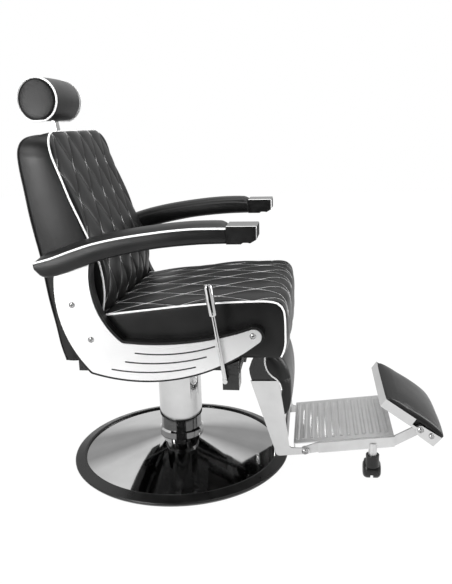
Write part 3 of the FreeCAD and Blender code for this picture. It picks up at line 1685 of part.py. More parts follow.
def make_pad_cushion():
    """Crowned cushion in the tray, narrower where the rails pass."""
    wall, rim = float(d.pad_flange), float(d.pad_flange_height)
    length, rise = float(d.pad_length), float(d.pad_rise)

    def section(y, lift, pull):
        up = lift - pull
        end = length + 2 - pull
        return section_wire(y, [
            [(wall, wall), (end - 8, wall)],
            [(end - 8, wall), (end, rim * 0.45), (end - 6, rim + up * 0.3)],
            [(end - 6, rim + up * 0.3), (length * 0.6, rim + rise + up),
             (wall + 10, rim + rise * 0.45 + up * 0.6)],
            [(wall + 10, rim + rise * 0.45 + up * 0.6), (wall + 3, rim + rise * 0.2 + up * 0.4),
             (wall, rim - 3)],
            [(wall, rim - 3), (wall, wall)],
        ])

    form = shaped(padded(d.pad_half_width - d.pad_flange, 3, d.pad_crown, section))
    start = d.pad_channel_length - 9
    inner = d.pad_narrow - d.side_play
    notches = [box(d.pad_length, 20, d.pad_flange_height * 3, start, across, -5)
               for across in (inner, -(inner + 20))]
    keep("pad_cushion", on_pad(cut(form, *notches)))


# Casters


def make_casters():
    """Twin-wheel casters under the platform rails."""
    x, radius = d.caster_x, d.caster_wheel_radius
    width, web = d.caster_wheel_width, d.caster_web
    wall = d.caster_hood_wall
    hood_radius = radius + wall + 1
    half = web / 2 + 0.5 + width
    cap_start = axle_height + radius - 8

    def far_rim(side_x):
        def test(edge):
            return abs(edge.BoundBox.XMax - float(side_x)) < 0.01 and edge.BoundBox.XLength < 0.01
        return test

    def domed(start_x, length, reach, at_y, ends):
        drum = Part.makeCylinder(float(reach), float(length),
                                 Vector(float(start_x), float(at_y), float(axle_height)), Vector(1, 0, 0))
        rims = [edge for edge in drum.Edges for end in ends if far_rim(end)(edge)]
        return shaped(drum.makeFillet(float(d.caster_wheel_round), rims))

    for side, sign in SIDES:
        stem_y = caster_side * sign
        wheel_y = (caster_side - d.caster_trail) * sign
        drum = domed(x - half, half * 2, hood_radius, wheel_y, (x - half, x + half))
        hollow_right = cylinder(radius + 1, half, x + web / 2, wheel_y, axle_height, "X")
        hollow_left = cylinder(radius + 1, half, x - web / 2 - half, wheel_y, axle_height, "X")
        below = box(hood_radius * 4, hood_radius * 4, hood_radius * 2, x - hood_radius * 2,
                    wheel_y - hood_radius * 2, axle_height - hood_radius * 2 - radius * 0.25)
        shell = cut(drum, hollow_right, hollow_left, below)
        cap = cylinder(d.caster_cap_radius, d.caster_cap_top - cap_start, x, stem_y, cap_start)
        pin = cylinder(d.caster_pin_radius, d.caster_pin_length, x, stem_y, d.caster_cap_top)
        wheel_room = [
            cylinder(radius + 1, width + 0.5, x + web / 2, wheel_y, axle_height, "X"),
            cylinder(radius + 1, width + 0.5, x - half, wheel_y, axle_height, "X"),
        ]
        axle_bore = cylinder(d.caster_axle_radius + d.running_gap, web * 3, x - web * 1.5, wheel_y,
                             axle_height, "X")
        fork = cut(fuse(shell, cap, pin), *wheel_room, axle_bore)
        keep("caster_fork_" + side, fork)
        wheels = [
            domed(x + web / 2 + 0.5, width, radius, wheel_y, (x + half,)),
            domed(x - half, width, radius, wheel_y, (x - half,)),
        ]
        axle = cylinder(d.caster_axle_radius, half * 2 - 2, x - half + 1, wheel_y, axle_height, "X")
        keep("caster_wheels_" + side, fuse(axle, *wheels))


def build():
    make_edge_ring()
    make_base_plate()
    make_base_bolts()
    make_base_dome()
    make_pump_cylinder()
    make_guides()
    make_column_collar()
    make_pump_block()
    make_plunger()
    make_pedal()
    make_column()
    make_swivel_plate()
    make_seat_frame()
    make_seat_board()
    make_recline_brackets()
    make_leg_hangers()
    make_pivot_pins()
    make_seat_cushion()
    make_sides()
    make_plate_screws()
    make_arm_pads()
    make_arm_caps()
    make_lever_bracket()
    make_lever()
    make_lock_cylinder()
    make_lock_rod()
    make_back_frame()
    make_back_shell()
    make_back_cushion()
    make_post_socket()
    make_headrest()
    make_link_rod()
    make_leg_brackets()
    make_leg_plates()
    make_leg_tubes()
    make_calf_pad()
    make_foot_bolts()
    make_platform_rails()
    make_tread()
    make_pad_bolts()
    make_pad_tray()
    make_pad_cushion()
    make_casters()
    doc.recompute()


def check():
    """Stops if any object failed or any sub-part is not a sound solid."""
    for thing in doc.Objects:
        if "Invalid" in thing.State or "Error" in thing.State:
            raise RuntimeError("failed: %s %s %s" % (thing.Name, thing.Label, thing.State))
    for name, thing in pieces.items():
        shape = thing.Shape
        if shape.isNull() or not shape.isValid() or not shape.Solids:
            raise RuntimeError("not a sound solid: " + name)


def write():
    os.makedirs("parts", exist_ok=True)
    for name, thing in pieces.items():
        thing.Shape.exportStep("parts/%s.step" % name)
    print("wrote", len(pieces), "sub-parts")


build()
check()
write()
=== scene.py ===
"""Looks of a hydraulic barber chair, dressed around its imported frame.

The sitter faces +X, the sitter's left is +Y, +Z is up and the origin is on
the floor under the column. Sizes are in millimetres unless a name says
otherwise, and become metres where a mesh is made.
"""

import bisect
import itertools
import json
import logging
import math
from dataclasses import dataclass, field
from enum import Enum
from typing import Callable, Iterable, Optional, Sequence

import bmesh
import bpy
from mathutils import Matrix, Vector


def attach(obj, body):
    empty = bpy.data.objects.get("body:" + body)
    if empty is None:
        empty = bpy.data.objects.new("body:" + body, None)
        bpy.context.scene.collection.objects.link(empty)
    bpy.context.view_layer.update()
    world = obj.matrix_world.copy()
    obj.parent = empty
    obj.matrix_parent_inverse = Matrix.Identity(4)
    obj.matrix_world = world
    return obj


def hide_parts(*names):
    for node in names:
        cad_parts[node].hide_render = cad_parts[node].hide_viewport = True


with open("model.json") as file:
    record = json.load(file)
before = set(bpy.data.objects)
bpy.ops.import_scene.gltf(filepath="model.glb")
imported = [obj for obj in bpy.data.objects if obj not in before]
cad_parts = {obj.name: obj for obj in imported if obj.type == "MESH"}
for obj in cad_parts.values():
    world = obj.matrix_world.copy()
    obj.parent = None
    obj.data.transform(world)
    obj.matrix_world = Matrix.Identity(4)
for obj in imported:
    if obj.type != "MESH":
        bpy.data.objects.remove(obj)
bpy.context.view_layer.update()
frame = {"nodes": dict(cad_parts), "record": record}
MM = 0.001
TINY = 1e-6
IMAGE_HEIGHT = 584
SENSOR_WIDTH = 36.0
LARGEST_ROUND = 0.9
PANEL_COLUMNS = 240
SHORTEST_SEAM = 4

logging.basicConfig(level=logging.INFO, format="%(message)s")
log = logging.getLogger("chair")

Point = tuple[float, float]
Station = tuple[int, int, int]
Place = Callable[[int, int, int], Vector]
Coarse = Sequence[tuple[int, int]]
Socket = bpy.types.NodeSocket
Tree = bpy.types.NodeTree


class Side(Enum):
    """A side of the chair, as the sitter sees it."""

    RIGHT = -1
    LEFT = 1

    @property
    def label(self) -> str:
        """The side's name as the frame's nodes spell it."""
        return self.name.lower()


# Colour and node helpers


def linear(hex_colour: str) -> tuple[float, float, float, float]:
    """Turn an sRGB hex colour into linear values.

    Args:
        hex_colour: six hex digits, with or without a leading mark.

    Returns:
        Red, green, blue and alpha.
    """
    digits = hex_colour.lstrip("#")
    parts = [int(digits[at:at + 2], 16) / 255 for at in (0, 2, 4)]
    red, green, blue = (c / 12.92 if c <= 0.04045 else ((c + 0.055) / 1.055) ** 2.4 for c in parts)
    return red, green, blue, 1.0


def add_node(tree: Tree, kind: str, values: Optional[dict] = None, links: Optional[dict] = None,
             **settings: object) -> bpy.types.Node:
    """Add one node with its settings, values and incoming links.

    Args:
        tree: the node tree it goes into.
        kind: Blender's name for the type of node.
        values: input name or index, and the value it gets.
        links: input name or index, and the output socket that feeds it.
        settings: properties of the node itself.

    Returns:
        The new node.
    """
    node = tree.nodes.new(kind)
    for name, value in settings.items():
        setattr(node, name, value)
    for key, value in (values or {}).items():
        node.inputs[key].default_value = value
    for key, socket in (links or {}).items():
        tree.links.new(socket, node.inputs[key])
    return node


def empty_material(name: str) -> bpy.types.Material:
    """Start a material that has no nodes yet.

    Args:
        name: the material's name.

    Returns:
        The material.
    """
    material = bpy.data.materials.new(name)
    material.use_nodes = True
    material.node_tree.nodes.clear()
    return material


# Finishes


@dataclass(frozen=True)
class Finish:
    """A surface finish, which becomes one procedural material.

    Attributes:
        name: the material's name.
        colour: main colour as sRGB hex.
        shade: second colour that the first drifts to.
        roughness: mean roughness.
        spread: how far the roughness drifts either way.
        metallic: one for bare metal.
        specular: specular level of a coated or plastic surface, one half for IOR 1.5.
        patch: size of the colour and roughness patches, in millimetres.
        grain: size of the surface relief, in millimetres.
        relief: height of the surface relief, in millimetres.
        stretch: how much the relief is compressed along each axis.
    """

    name: str
    colour: str
    shade: str
    roughness: float
    spread: float = 0.03
    metallic: float = 0.0
    specular: float = 0.5
    patch: float = 60.0
    grain: float = 2.0
    relief: float = 0.05
    stretch: tuple[float, float, float] = (1.0, 1.0, 1.0)

    def shader_values(self) -> dict:
        """Values set on the shader's own sockets."""
        return {"Metallic": self.metallic, "Specular IOR Level": self.specular}

    def height(self, tree: Tree, coords: Socket) -> Socket:
        """Build the relief of the surface.

        Args:
            tree: the material's tree.
            coords: object coordinates, in metres.

        Returns:
            A socket from zero to one.
        """
        along = add_node(tree, "ShaderNodeMapping", {"Scale": self.stretch}, {"Vector": coords})
        fine = add_node(tree, "ShaderNodeTexNoise", {"Scale": 1 / (self.grain * MM), "Detail": 3.0},
                        {"Vector": along.outputs["Vector"]})
        return fine.outputs["Fac"]

    def tint(self, tree: Tree, drift: Socket, coords: Socket) -> Socket:
        """Blend the finish's two colours by a slow drift.

        Args:
            tree: the material's tree.
            drift: the slow noise.
            coords: object coordinates, for finishes that add a pattern; not used here.

        Returns:
            The colour socket.
        """
        blend = add_node(tree, "ShaderNodeValToRGB", None, {"Fac": drift})
        first, second = blend.color_ramp.elements
        first.position, first.color = 0.35, linear(self.colour)
        second.position, second.color = 0.7, linear(self.shade)
        return blend.outputs["Color"]

    def material(self) -> bpy.types.Material:
        """Build the finish's material once, and hand out the same one after that.

        Returns:
            The material.
        """
        known = bpy.data.materials.get(self.name)
        if known:
            return known
        material = empty_material(self.name)
        tree = material.node_tree
        coords = add_node(tree, "ShaderNodeTexCoord").outputs["Object"]
        drift = add_node(tree, "ShaderNodeTexNoise", {"Scale": 1 / (self.patch * MM), "Detail": 5.0},
                         {"Vector": coords}).outputs["Fac"]
        rough = add_node(tree, "ShaderNodeMapRange",
                         {"From Min": 0.3, "From Max": 0.7, "To Min": self.roughness - self.spread,
                          "To Max": self.roughness + self.spread}, {"Value": drift})
        bump = add_node(tree, "ShaderNodeBump", {"Strength": 1.0, "Distance": self.relief * MM},
                        {"Height": self.height(tree, coords)})
        shader = add_node(tree, "ShaderNodeBsdfPrincipled", self.shader_values(),
                          {"Base Color": self.tint(tree, drift, coords),
                           "Roughness": rough.outputs["Result"], "Normal": bump.outputs["Normal"]})
        add_node(tree, "ShaderNodeOutputMaterial", None, {"Surface": shader.outputs["BSDF"]})
        return material


@dataclass(frozen=True)
class Leatherette(Finish):
    """PVC-coated fabric with an embossed pebble grain."""

    def height(self, tree: Tree, coords: Socket) -> Socket:
        """Build rounded pebbles with creases between them.

        Args:
            tree: the material's tree.
            coords: object coordinates, in metres.

        Returns:
            A socket from zero to one.
        """
        wander = add_node(tree, "ShaderNodeTexNoise", {"Scale": 1 / (self.grain * 2 * MM)},
                          {"Vector": coords})
        moved = add_node(tree, "ShaderNodeVectorMath", {1: (self.grain * MM * 0.6,) * 3, 2: (0, 0, 0)},
                         {0: wander.outputs["Color"], 2: coords}, operation="MULTIPLY_ADD")
        pebble = add_node(tree, "ShaderNodeTexVoronoi", {"Scale": 1 / (self.grain * MM)},
                          {"Vector": moved.outputs["Vector"]}, feature="SMOOTH_F1")
        top = add_node(tree, "ShaderNodeMapRange", {"From Max": 0.8, "To Min": 1.0, "To Max": 0.0},
                       {"Value": pebble.outputs["Distance"]})
        return top.outputs["Result"]


@dataclass(frozen=True)
class Plywood(Finish):
    """Peeled veneer: long grain with darker late wood."""

    def tint(self, tree: Tree, drift: Socket, coords: Socket) -> Socket:
        """Blend light and dark wood along the grain.

        Args:
            tree: the material's tree.
            drift: the slow noise; not used.
            coords: object coordinates.

        Returns:
            The colour socket.
        """
        along = add_node(tree, "ShaderNodeMapping", {"Scale": (8.0, 90.0, 90.0)}, {"Vector": coords})
        grain = add_node(tree, "ShaderNodeTexNoise", {"Scale": 1.0, "Detail": 6.0},
                         {"Vector": along.outputs["Vector"]})
        return super().tint(tree, grain.outputs["Fac"], coords)


# PVC leatherette over foam: soft broad highlights and a fine pebble grain. The
# real pebbles are about 1 mm, too fine to show, so they are drawn at 1.8 mm.
LEATHERETTE = Leatherette("black_embossed_leatherette", "#0f0f0f", "#171717", 0.36, 0.05,
                          specular=0.28, patch=90.0, grain=1.8, relief=0.10)
# The same cloth on the rigid side boards, pulled flat and a little shinier.
BOARD_CLOTH = Leatherette("black_leatherette_on_board", "#0c0c0c", "#141414", 0.30, 0.04,
                          specular=0.35, patch=70.0, grain=1.6, relief=0.05)
# Extruded soft vinyl cord: even white with a satin highlight.
PIPING = Finish("white_vinyl_piping", "#f2f2f2", "#e8e8e8", 0.38, 0.05, patch=25.0, grain=1.2,
                relief=0.04)
# The cord sewn under the same cloth at the rear edge: black on black.
WELT = Finish("black_vinyl_welt", "#141414", "#1e1e1e", 0.34, 0.05, patch=25.0, grain=1.2,
              relief=0.04)
# Bonded polyester thread: dull, with the twist as fine ridges.
THREAD = Finish("grey_polyester_thread", "#dedede", "#cecece", 0.62, 0.05, patch=8.0, grain=0.5,
                relief=0.05)
# Buffed and plated steel: a mirror with the faintest buffing haze.
CHROME = Finish("buffed_chrome_plate", "#cacaca", "#c1c1c1", 0.06, 0.02, 1.0, patch=80.0,
                grain=14.0, relief=0.01)
# Polished stainless sheet, rolled and then buffed: white, with a soft smear to reflections.
BRIGHT_STEEL = Finish("polished_steel_sheet", "#f3f3f3", "#eeeeee", 0.34, 0.02, 1.0, patch=120.0,
                      grain=1.2, relief=0.004, stretch=(0.15, 1.0, 1.0))
# Satin-brushed sheet: pale grey, so dull that reflections only shade it softly.
SATIN_ALUMINIUM = Finish("satin_brushed_aluminium", "#d4d4d4", "#cccccc", 0.48, 0.04, 1.0,
                         patch=60.0, grain=1.0, relief=0.002, stretch=(1.0, 0.06, 1.0))
# Turned steel with a thin oil film: darker than plate, with tool marks.
STEEL = Finish("turned_steel", "#a9a9a9", "#8f8f8f", 0.30, 0.05, 1.0, patch=30.0, grain=0.8,
               relief=0.02, stretch=(1.0, 1.0, 3.0))
# Zinc-plated screw heads: pale, dulled a little by handling.
ZINC = Finish("zinc_plated_steel", "#c4c4c4", "#a8a8a8", 0.26, 0.05, 1.0, patch=6.0, grain=0.6,
              relief=0.01)
# Powder-coated frame: black with a slight orange-peel.
BLACK_STEEL = Finish("black_powder_coat", "#0d0d0d", "#171717", 0.26, 0.05, patch=35.0, grain=2.2,
                     relief=0.05)
# Stoved enamel over a rough casting: black, lumpy under a deep shine.
CAST_IRON = Finish("black_enamelled_iron", "#0a0a0a", "#131313", 0.14, 0.05, patch=30.0, grain=9.0,
                   relief=0.8)
# Ground hard-chromed cylinder, darkened as painted shade under the sleeve: a mirror darker than buffed
# plate.
SHADE_DARKENED_CHROME = Finish("hard_chrome_darkened_as_shade", "#9c9c9c", "#8e8e8e", 0.07, 0.02, 1.0, patch=60.0,
                      grain=6.0, relief=0.01)
# Beech plywood under black stain: the grain shows only as a change of gloss.
PLYWOOD = Plywood("black_stained_plywood", "#141312", "#201e1c", 0.55, 0.05, patch=40.0, grain=2.0,
                  relief=0.05)
# Moulded rubber: nearly black, with a dull bloom and a little shine left on it.
RUBBER = Finish("moulded_rubber", "#0c0c0c", "#151515", 0.32, 0.06, specular=0.45, patch=40.0,
                grain=1.4, relief=0.05)
# Injection-moulded nylon: black with a low gloss and a spark-eroded texture.
BLACK_PLASTIC = Finish("moulded_black_nylon", "#0d0d0d", "#161616", 0.34, 0.05, specular=0.4,
                       patch=30.0, grain=1.0, relief=0.03)
# Moulded acetal bearing: cream, with a soft wax-like gloss.
BEARING_PLASTIC = Finish("acetal_bearing", "#ded9cc", "#cfc9ba", 0.35, 0.04, patch=30.0, grain=1.5,
                         relief=0.02)

SLOT_FINISHES = {
    "black_leatherette": LEATHERETTE,
    "polished_chrome": CHROME,
    "bright_steel": BRIGHT_STEEL,
    "satin_aluminium": SATIN_ALUMINIUM,
    "steel": STEEL,
    "black_steel": BLACK_STEEL,
    "black_board": BOARD_CLOTH,
    "plywood": PLYWOOD,
    "cast_iron": CAST_IRON,
    "rubber": RUBBER,
    "black_plastic": BLACK_PLASTIC,
    "bearing_plastic": BEARING_PLASTIC,
}

# Nodes whose finish is not the usual one of their slot.
NODE_FINISHES = {"leg_brackets": CAST_IRON, "lever_bracket": CAST_IRON, "lock_rod": BLACK_STEEL,
                 # The pump cylinder's chrome is darkened as painted shade under the sleeve.
                 "pump_cylinder": SHADE_DARKENED_CHROME, "plate_screws": ZINC, "foot_bolts": ZINC,
                 "pad_bolts": ZINC}


# Objects, lines and blocks


def in_scene(name: str, data: bpy.types.ID) -> bpy.types.Object:
    """Put an object with some data into the scene.

    Args:
        name: the object's name.
        data: its mesh, camera or lamp.

    Returns:
        The object, at the origin.
    """
    thing = bpy.data.objects.new(name, data)
    bpy.context.scene.collection.objects.link(thing)
    return thing


def shaped(name: str, form: bmesh.types.BMesh, smooth: bool = True) -> bpy.types.Object:
    """Turn a closed bmesh into an object whose faces point outwards.

    Args:
        name: the object's name.
        form: the mesh, which is freed.
        smooth: whether light runs smoothly over its edges.

    Returns:
        The new object.
    """
    bmesh.ops.recalc_face_normals(form, faces=form.faces)
    mesh = bpy.data.meshes.new(name)
    form.to_mesh(mesh)
    form.free()
    if smooth:
        mesh.shade_smooth()
    return in_scene(name, mesh)


def dress(thing: bpy.types.Object, finish: Finish) -> bpy.types.Object:
    """Give an object one finish.

    Args:
        thing: the object.
        finish: what it is made of.

    Returns:
        The same object.
    """
    thing.data.materials.clear()
    thing.data.materials.append(finish.material())
    return thing


def body_of(node: str) -> str:
    """The name of the body that a CAD node moves with."""
    bodies = frame["record"]["behaviour"]["bodies"]
    return next(name for name, nodes in bodies.items() if node in nodes)


def bow(share: float) -> float:
    """A height over a span that is nothing at both ends and one in the middle."""
    return 4 * share * (1 - share)


def risen(distance: float, run: float) -> float:
    """How far a rounded edge has risen at a distance from it: one after its run."""
    return min(1.0, math.sqrt(max(distance, 0.0) / run))


def from_zero(count: int) -> list[float]:
    """Shares from nought to one in even steps."""
    return [at / count for at in range(count + 1)]


def from_side(count: int) -> list[float]:
    """Shares from minus one to one in even steps."""
    return [2 * at / count - 1 for at in range(count + 1)]


def circle_arc(start: Point, middle: Point, end: Point, count: int = 24) -> list[Vector]:
    """Walk along the circle through three points.

    Args:
        start: where the arc starts.
        middle: a point on it.
        end: where it ends.
        count: how many steps it takes.

    Returns:
        The points, with both ends.
    """
    one, two, three = Vector(start), Vector(middle), Vector(end)
    first, second = two - one, three - one
    twice = 2 * first.cross(second)
    squares = first.length_squared, second.length_squared
    heart = one + Vector((second.y * squares[0] - first.y * squares[1],
                          first.x * squares[1] - second.x * squares[0])) / twice
    radius = (one - heart).length
    begin = math.atan2(one.y - heart.y, one.x - heart.x)
    turn = math.remainder(math.atan2(three.y - heart.y, three.x - heart.x) - begin, math.tau)
    angles = [begin + turn * step / count for step in range(count + 1)]
    return [heart + Vector((math.cos(angle), math.sin(angle))) * radius for angle in angles]


@dataclass
class Path:
    """A smooth line through points in the XZ plane, measured along its length.

    Attributes:
        points: the points that it passes through.
        steps: pieces between two neighbouring points.
    """

    points: Sequence[Point]
    steps: int = 20
    line: list[Vector] = field(init=False)
    reach: list[float] = field(init=False)

    def __post_init__(self) -> None:
        """Sample the line and add up its length."""
        spots = [Vector(p) for p in self.points]
        spots = [spots[0] * 2 - spots[1], *spots, spots[-1] * 2 - spots[-2]]
        self.line = []
        for before, start, end, after in zip(spots, spots[1:], spots[2:], spots[3:]):
            self.line.extend(self.piece(before, start, end, after))
        self.line.append(spots[-2])
        self.reach = [0.0]
        for one, two in zip(self.line, self.line[1:]):
            self.reach.append(self.reach[-1] + (two - one).length)

    def piece(self, before: Vector, start: Vector, end: Vector, after: Vector) -> list[Vector]:
        """Sample one piece of a centripetal Catmull-Rom line.

        Args:
            before: the point ahead of the piece.
            start: where it starts.
            end: where it ends.
            after: the point behind it.

        Returns:
            Points from start up to, but without, end.
        """
        knots = [0.0]
        for one, two in ((before, start), (start, end), (end, after)):
            knots.append(knots[-1] + max((two - one).length, TINY) ** 0.5)
        a, b, c, e = knots
        found = []
        for index in range(self.steps):
            t = b + (c - b) * index / self.steps
            low = before * ((b - t) / (b - a)) + start * ((t - a) / (b - a))
            mid = start * ((c - t) / (c - b)) + end * ((t - b) / (c - b))
            high = end * ((e - t) / (e - c)) + after * ((t - c) / (e - c))
            left = low * ((c - t) / (c - a)) + mid * ((t - a) / (c - a))
            right = mid * ((e - t) / (e - b)) + high * ((t - b) / (e - b))
            found.append(left * ((c - t) / (c - b)) + right * ((t - b) / (c - b)))
        return found

    @property
    def length(self) -> float:
        """The line's whole length."""
        return self.reach[-1]

    def at(self, distance: float) -> Vector:
        """Find the point at a distance along the line.

        Args:
            distance: how far along, held to the line's ends.

        Returns:
            The point.
        """
        distance = min(max(distance, 0.0), self.length)
        index = min(max(bisect.bisect_right(self.reach, distance) - 1, 0), len(self.line) - 2)
        share = (distance - self.reach[index]) / max(self.reach[index + 1] - self.reach[index], TINY)
        return self.line[index].lerp(self.line[index + 1], share)

    def part(self, share: float) -> Vector:
        """The point at a share of the line's length."""
        return self.at(share * self.length)

    def normal(self, distance: float, width: float) -> Vector:
        """The direction to the left of the line at a distance, averaged over a width."""
        way = self.at(distance + width) - self.at(distance - width)
        return Vector((-way.y, way.x)).normalized()

    def at_height(self, z: float) -> float:
        """Find where the line first passes a height on its way up.

        Args:
            z: the height.

        Returns:
            The distance along the line, or its whole length if it stays below.
        """
        for index, (one, two) in enumerate(zip(self.line, self.line[1:])):
            if one.y <= z < two.y:
                share = (z - one.y) / (two.y - one.y)
                return self.reach[index] + share * (self.reach[index + 1] - self.reach[index])
        return self.length


def rounded(reach: float, depth: float, half: float, full: float, radius: float) -> Point:
    """Pull a point of a square-edged section in to a rounded corner.

    Args:
        reach: distance of the point from the section's middle line.
        depth: how deep it is in the section.
        half: half the section's width.
        full: the section's depth, at which its corners are rounded.
        radius: radius of the corners.

    Returns:
        The point's new reach and depth.
    """
    radius = min(radius, full * LARGEST_ROUND, half * LARGEST_ROUND)
    over, rise = abs(reach) - (half - radius), depth - (full - radius)
    if over <= 0 or rise <= 0:
        return reach, depth
    share = max(over, rise) / math.hypot(over, rise)
    return math.copysign(half - radius + over * share, reach), full - radius + rise * share


def bridge(form: bmesh.types.BMesh, loops: Sequence[Sequence[bmesh.types.BMVert]]) -> None:
    """Join neighbouring loops of vertices by bands of faces; a loop of one vertex is a pole.

    Args:
        form: the mesh that the faces go into.
        loops: the loops, in order.
    """
    sides = max(len(loop) for loop in loops)
    for one, two in zip(loops, loops[1:]):
        for at in range(sides):
            after = (at + 1) % sides
            corners = (one[at % len(one)], one[after % len(one)],
                       two[after % len(two)], two[at % len(two)])
            form.faces.new(list(dict.fromkeys(corners)))


def turned(name: str, profile: Sequence[Point], start: Vector, way: Vector,
           sides: int = 32) -> bpy.types.Object:
    """Turn a piece on a lathe.

    Args:
        name: the object's name.
        profile: distances along the axis and radii, of which the first and last are zero.
        start: where the axis starts, in millimetres.
        way: the axis's direction.
        sides: how many sides the piece has.

    Returns:
        The new object.
    """
    turn = way.to_track_quat("Z", "Y")
    form = bmesh.new()
    loops = []
    for along, radius in profile:
        angles = [math.tau * at / sides for at in range(sides)] if radius else [0.0]
        spots = [Vector((radius * math.cos(a), radius * math.sin(a), along)) for a in angles]
        loops.append([form.verts.new((start + turn @ spot) * MM) for spot in spots])
    bridge(form, loops)
    return shaped(name, form)


def body_from(name: str, counts: Station, place: Place) -> tuple[bpy.types.Object, list[Station]]:
    """Build a closed body from a block of stations, of which the outer ones are kept.

    Args:
        name: the object's name.
        counts: how many stations there are along, across and through the body.
        place: where a station is, in millimetres.

    Returns:
        The new object, and the station of each of its vertices.
    """
    form = bmesh.new()
    last = [count - 1 for count in counts]
    verts: dict[Station, bmesh.types.BMVert] = {}
    for axis, one, two in ((0, 1, 2), (1, 2, 0), (2, 0, 1)):
        for level in (0, last[axis]):
            for p, q in itertools.product(range(last[one]), range(last[two])):
                corners = []
                for step_p, step_q in ((0, 0), (1, 0), (1, 1), (0, 1)):
                    key = [0, 0, 0]
                    key[axis], key[one], key[two] = level, p + step_p, q + step_q
                    if tuple(key) not in verts:
                        verts[tuple(key)] = form.verts.new(place(*key) * MM)
                    corners.append(verts[tuple(key)])
                form.faces.new(corners if level else corners[::-1])
    return shaped(name, form), list(verts)


# Sewn covers and their filling


@dataclass(frozen=True)
class Filling:
    """Foam that swells a sewn cover, simulated as cloth under pressure from inside.

    The simulation runs on a coarse copy of the cover's block of stations, and
    the finer cover then follows it, so that taut leather stays smooth.

    Attributes:
        pressure: how hard the foam presses.
        limit: the most that a point may move, in millimetres.
        frames: how many frames are simulated.
        quality: how many steps the solver takes in each frame.
    """

    pressure: float = 4.0
    limit: float = 6.0
    frames: int = 20
    quality: int = 5

    def swell(self, cover: bpy.types.Object, sewn: Sequence[bool]) -> list[Vector]:
        """Swell a cover and read how far its points move.

        Args:
            cover: the cover, a closed mesh.
            sewn: for each vertex, whether a seam or a board holds it.

        Returns:
            The move of each vertex, in millimetres.
        """
        scene = bpy.context.scene
        group = cover.vertex_groups.new(name="sewn")
        group.add([at for at, held in enumerate(sewn) if held], 1.0, "REPLACE")
        cloth = cover.modifiers.new("filling", "CLOTH")
        settings = cloth.settings
        settings.quality = self.quality
        settings.vertex_group_mass = group.name
        settings.use_pressure = True
        settings.uniform_pressure_force = self.pressure
        settings.effector_weights.gravity = 0.0
        cloth.point_cache.frame_start, cloth.point_cache.frame_end = 1, self.frames
        for at in range(1, self.frames + 1):
            scene.frame_set(at)
        graph = bpy.context.evaluated_depsgraph_get()
        filled = cover.evaluated_get(graph).data
        moves = [(new.co - old.co) / MM for old, new in zip(cover.data.vertices, filled.vertices)]
        cover.modifiers.remove(cloth)
        cover.vertex_groups.remove(group)
        scene.frame_set(1)
        log.info("%s filled: up to %.1f mm", cover.name, max(move.length for move in moves))
        return [move * min(1.0, self.limit / max(move.length, TINY)) for move in moves]

    def fill(self, name: str, counts: Station, place: Place, held: Callable[[int, int, int], bool],
             coarse: Coarse, give: Callable[[int, int, int], float]) -> Place:
        """Swell a coarse copy of a block and carry its moves over to all of its stations.

        Args:
            name: the name of the copy.
            counts: how many stations the block has along each axis.
            place: where a station is before it is filled, in millimetres.
            held: whether a seam, cord or board holds a station.
            coarse: for each axis, the copy's first station after the end, and each how many.
            give: how much of the move a station takes.

        Returns:
            Where a station is once the cover is filled.
        """
        picks = [sorted({0, count - 1, *range(start, count, step)})
                 for count, (start, step) in zip(counts, coarse)]
        copy, stations = body_from(name, tuple(len(pick) for pick in picks),
                                   lambda i, j, k: place(picks[0][i], picks[1][j], picks[2][k]))
        sewn = [held(picks[0][i], picks[1][j], picks[2][k]) for i, j, k in stations]
        moves = dict(zip(stations, self.swell(copy, sewn)))
        bpy.data.objects.remove(copy)

        def filled(*station: int) -> Vector:
            """Move a station as its neighbours in the copy were moved.

            Args:
                station: its numbers along, across and through the block.

            Returns:
                Its place, in millimetres.
            """
            spans = []
            for pick, at in zip(picks, station):
                low = bisect.bisect_right(pick, at) - 1
                part = 0.0 if pick[low] == at else (at - pick[low]) / (pick[low + 1] - pick[low])
                spans.append([(low, 1 - part), (low + 1, part)] if part else [(low, 1.0)])
            total = Vector((0, 0, 0))
            for (i, one), (j, two), (k, three) in itertools.product(*spans):
                total += moves[i, j, k] * (one * two * three)
            return place(*station) + total * give(*station)

        return filled


class Cover:
    """A leatherette cover over foam, built as a block of stations and then filled.

    Each kind of cover lays out its own stations, and says where they are and
    which of them are sewn down.

    Attributes:
        counts: how many stations there are along, across and through the block.
        coarse: which stations the copy that is simulated takes: on each axis the first
            after the end, and each how many.
        filling: how the foam swells it.
    """

    counts: Station
    coarse: Coarse
    filling = Filling()

    def place(self, i: int, j: int, k: int) -> Vector:
        """Where a station is before it is filled, in millimetres."""
        raise NotImplementedError

    def held(self, i: int, j: int, k: int) -> bool:
        """Whether a seam, cord or board holds a station."""
        raise NotImplementedError

    def give(self, i: int, j: int, k: int) -> float:
        """How much of the filling's move a station takes."""
        return 1.0

    @property
    def last(self) -> Station:
        """The numbers of the block's last station along, across and through it."""
        return tuple(count - 1 for count in self.counts)

    def sew(self, name: str, body: str, *nodes: str, fill: float = 0.9) -> None:
        """Build the filled cover in place of its CAD nodes.

        Args:
            name: the piece's name.
            body: the body that it moves with.
            nodes: the CAD nodes that it stands for.
            fill: how tight it is, from nought to one; not used.
        """
        place = self.filling.fill(name + "_core", self.counts, self.place, self.held, self.coarse,
                                  self.give)
        pad = dress(body_from(name, self.counts, place)[0], LEATHERETTE)
        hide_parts(*nodes)
        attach(pad, body)
        log.info("%s: %d faces", name, len(pad.data.polygons))


# Trees for what follows a line


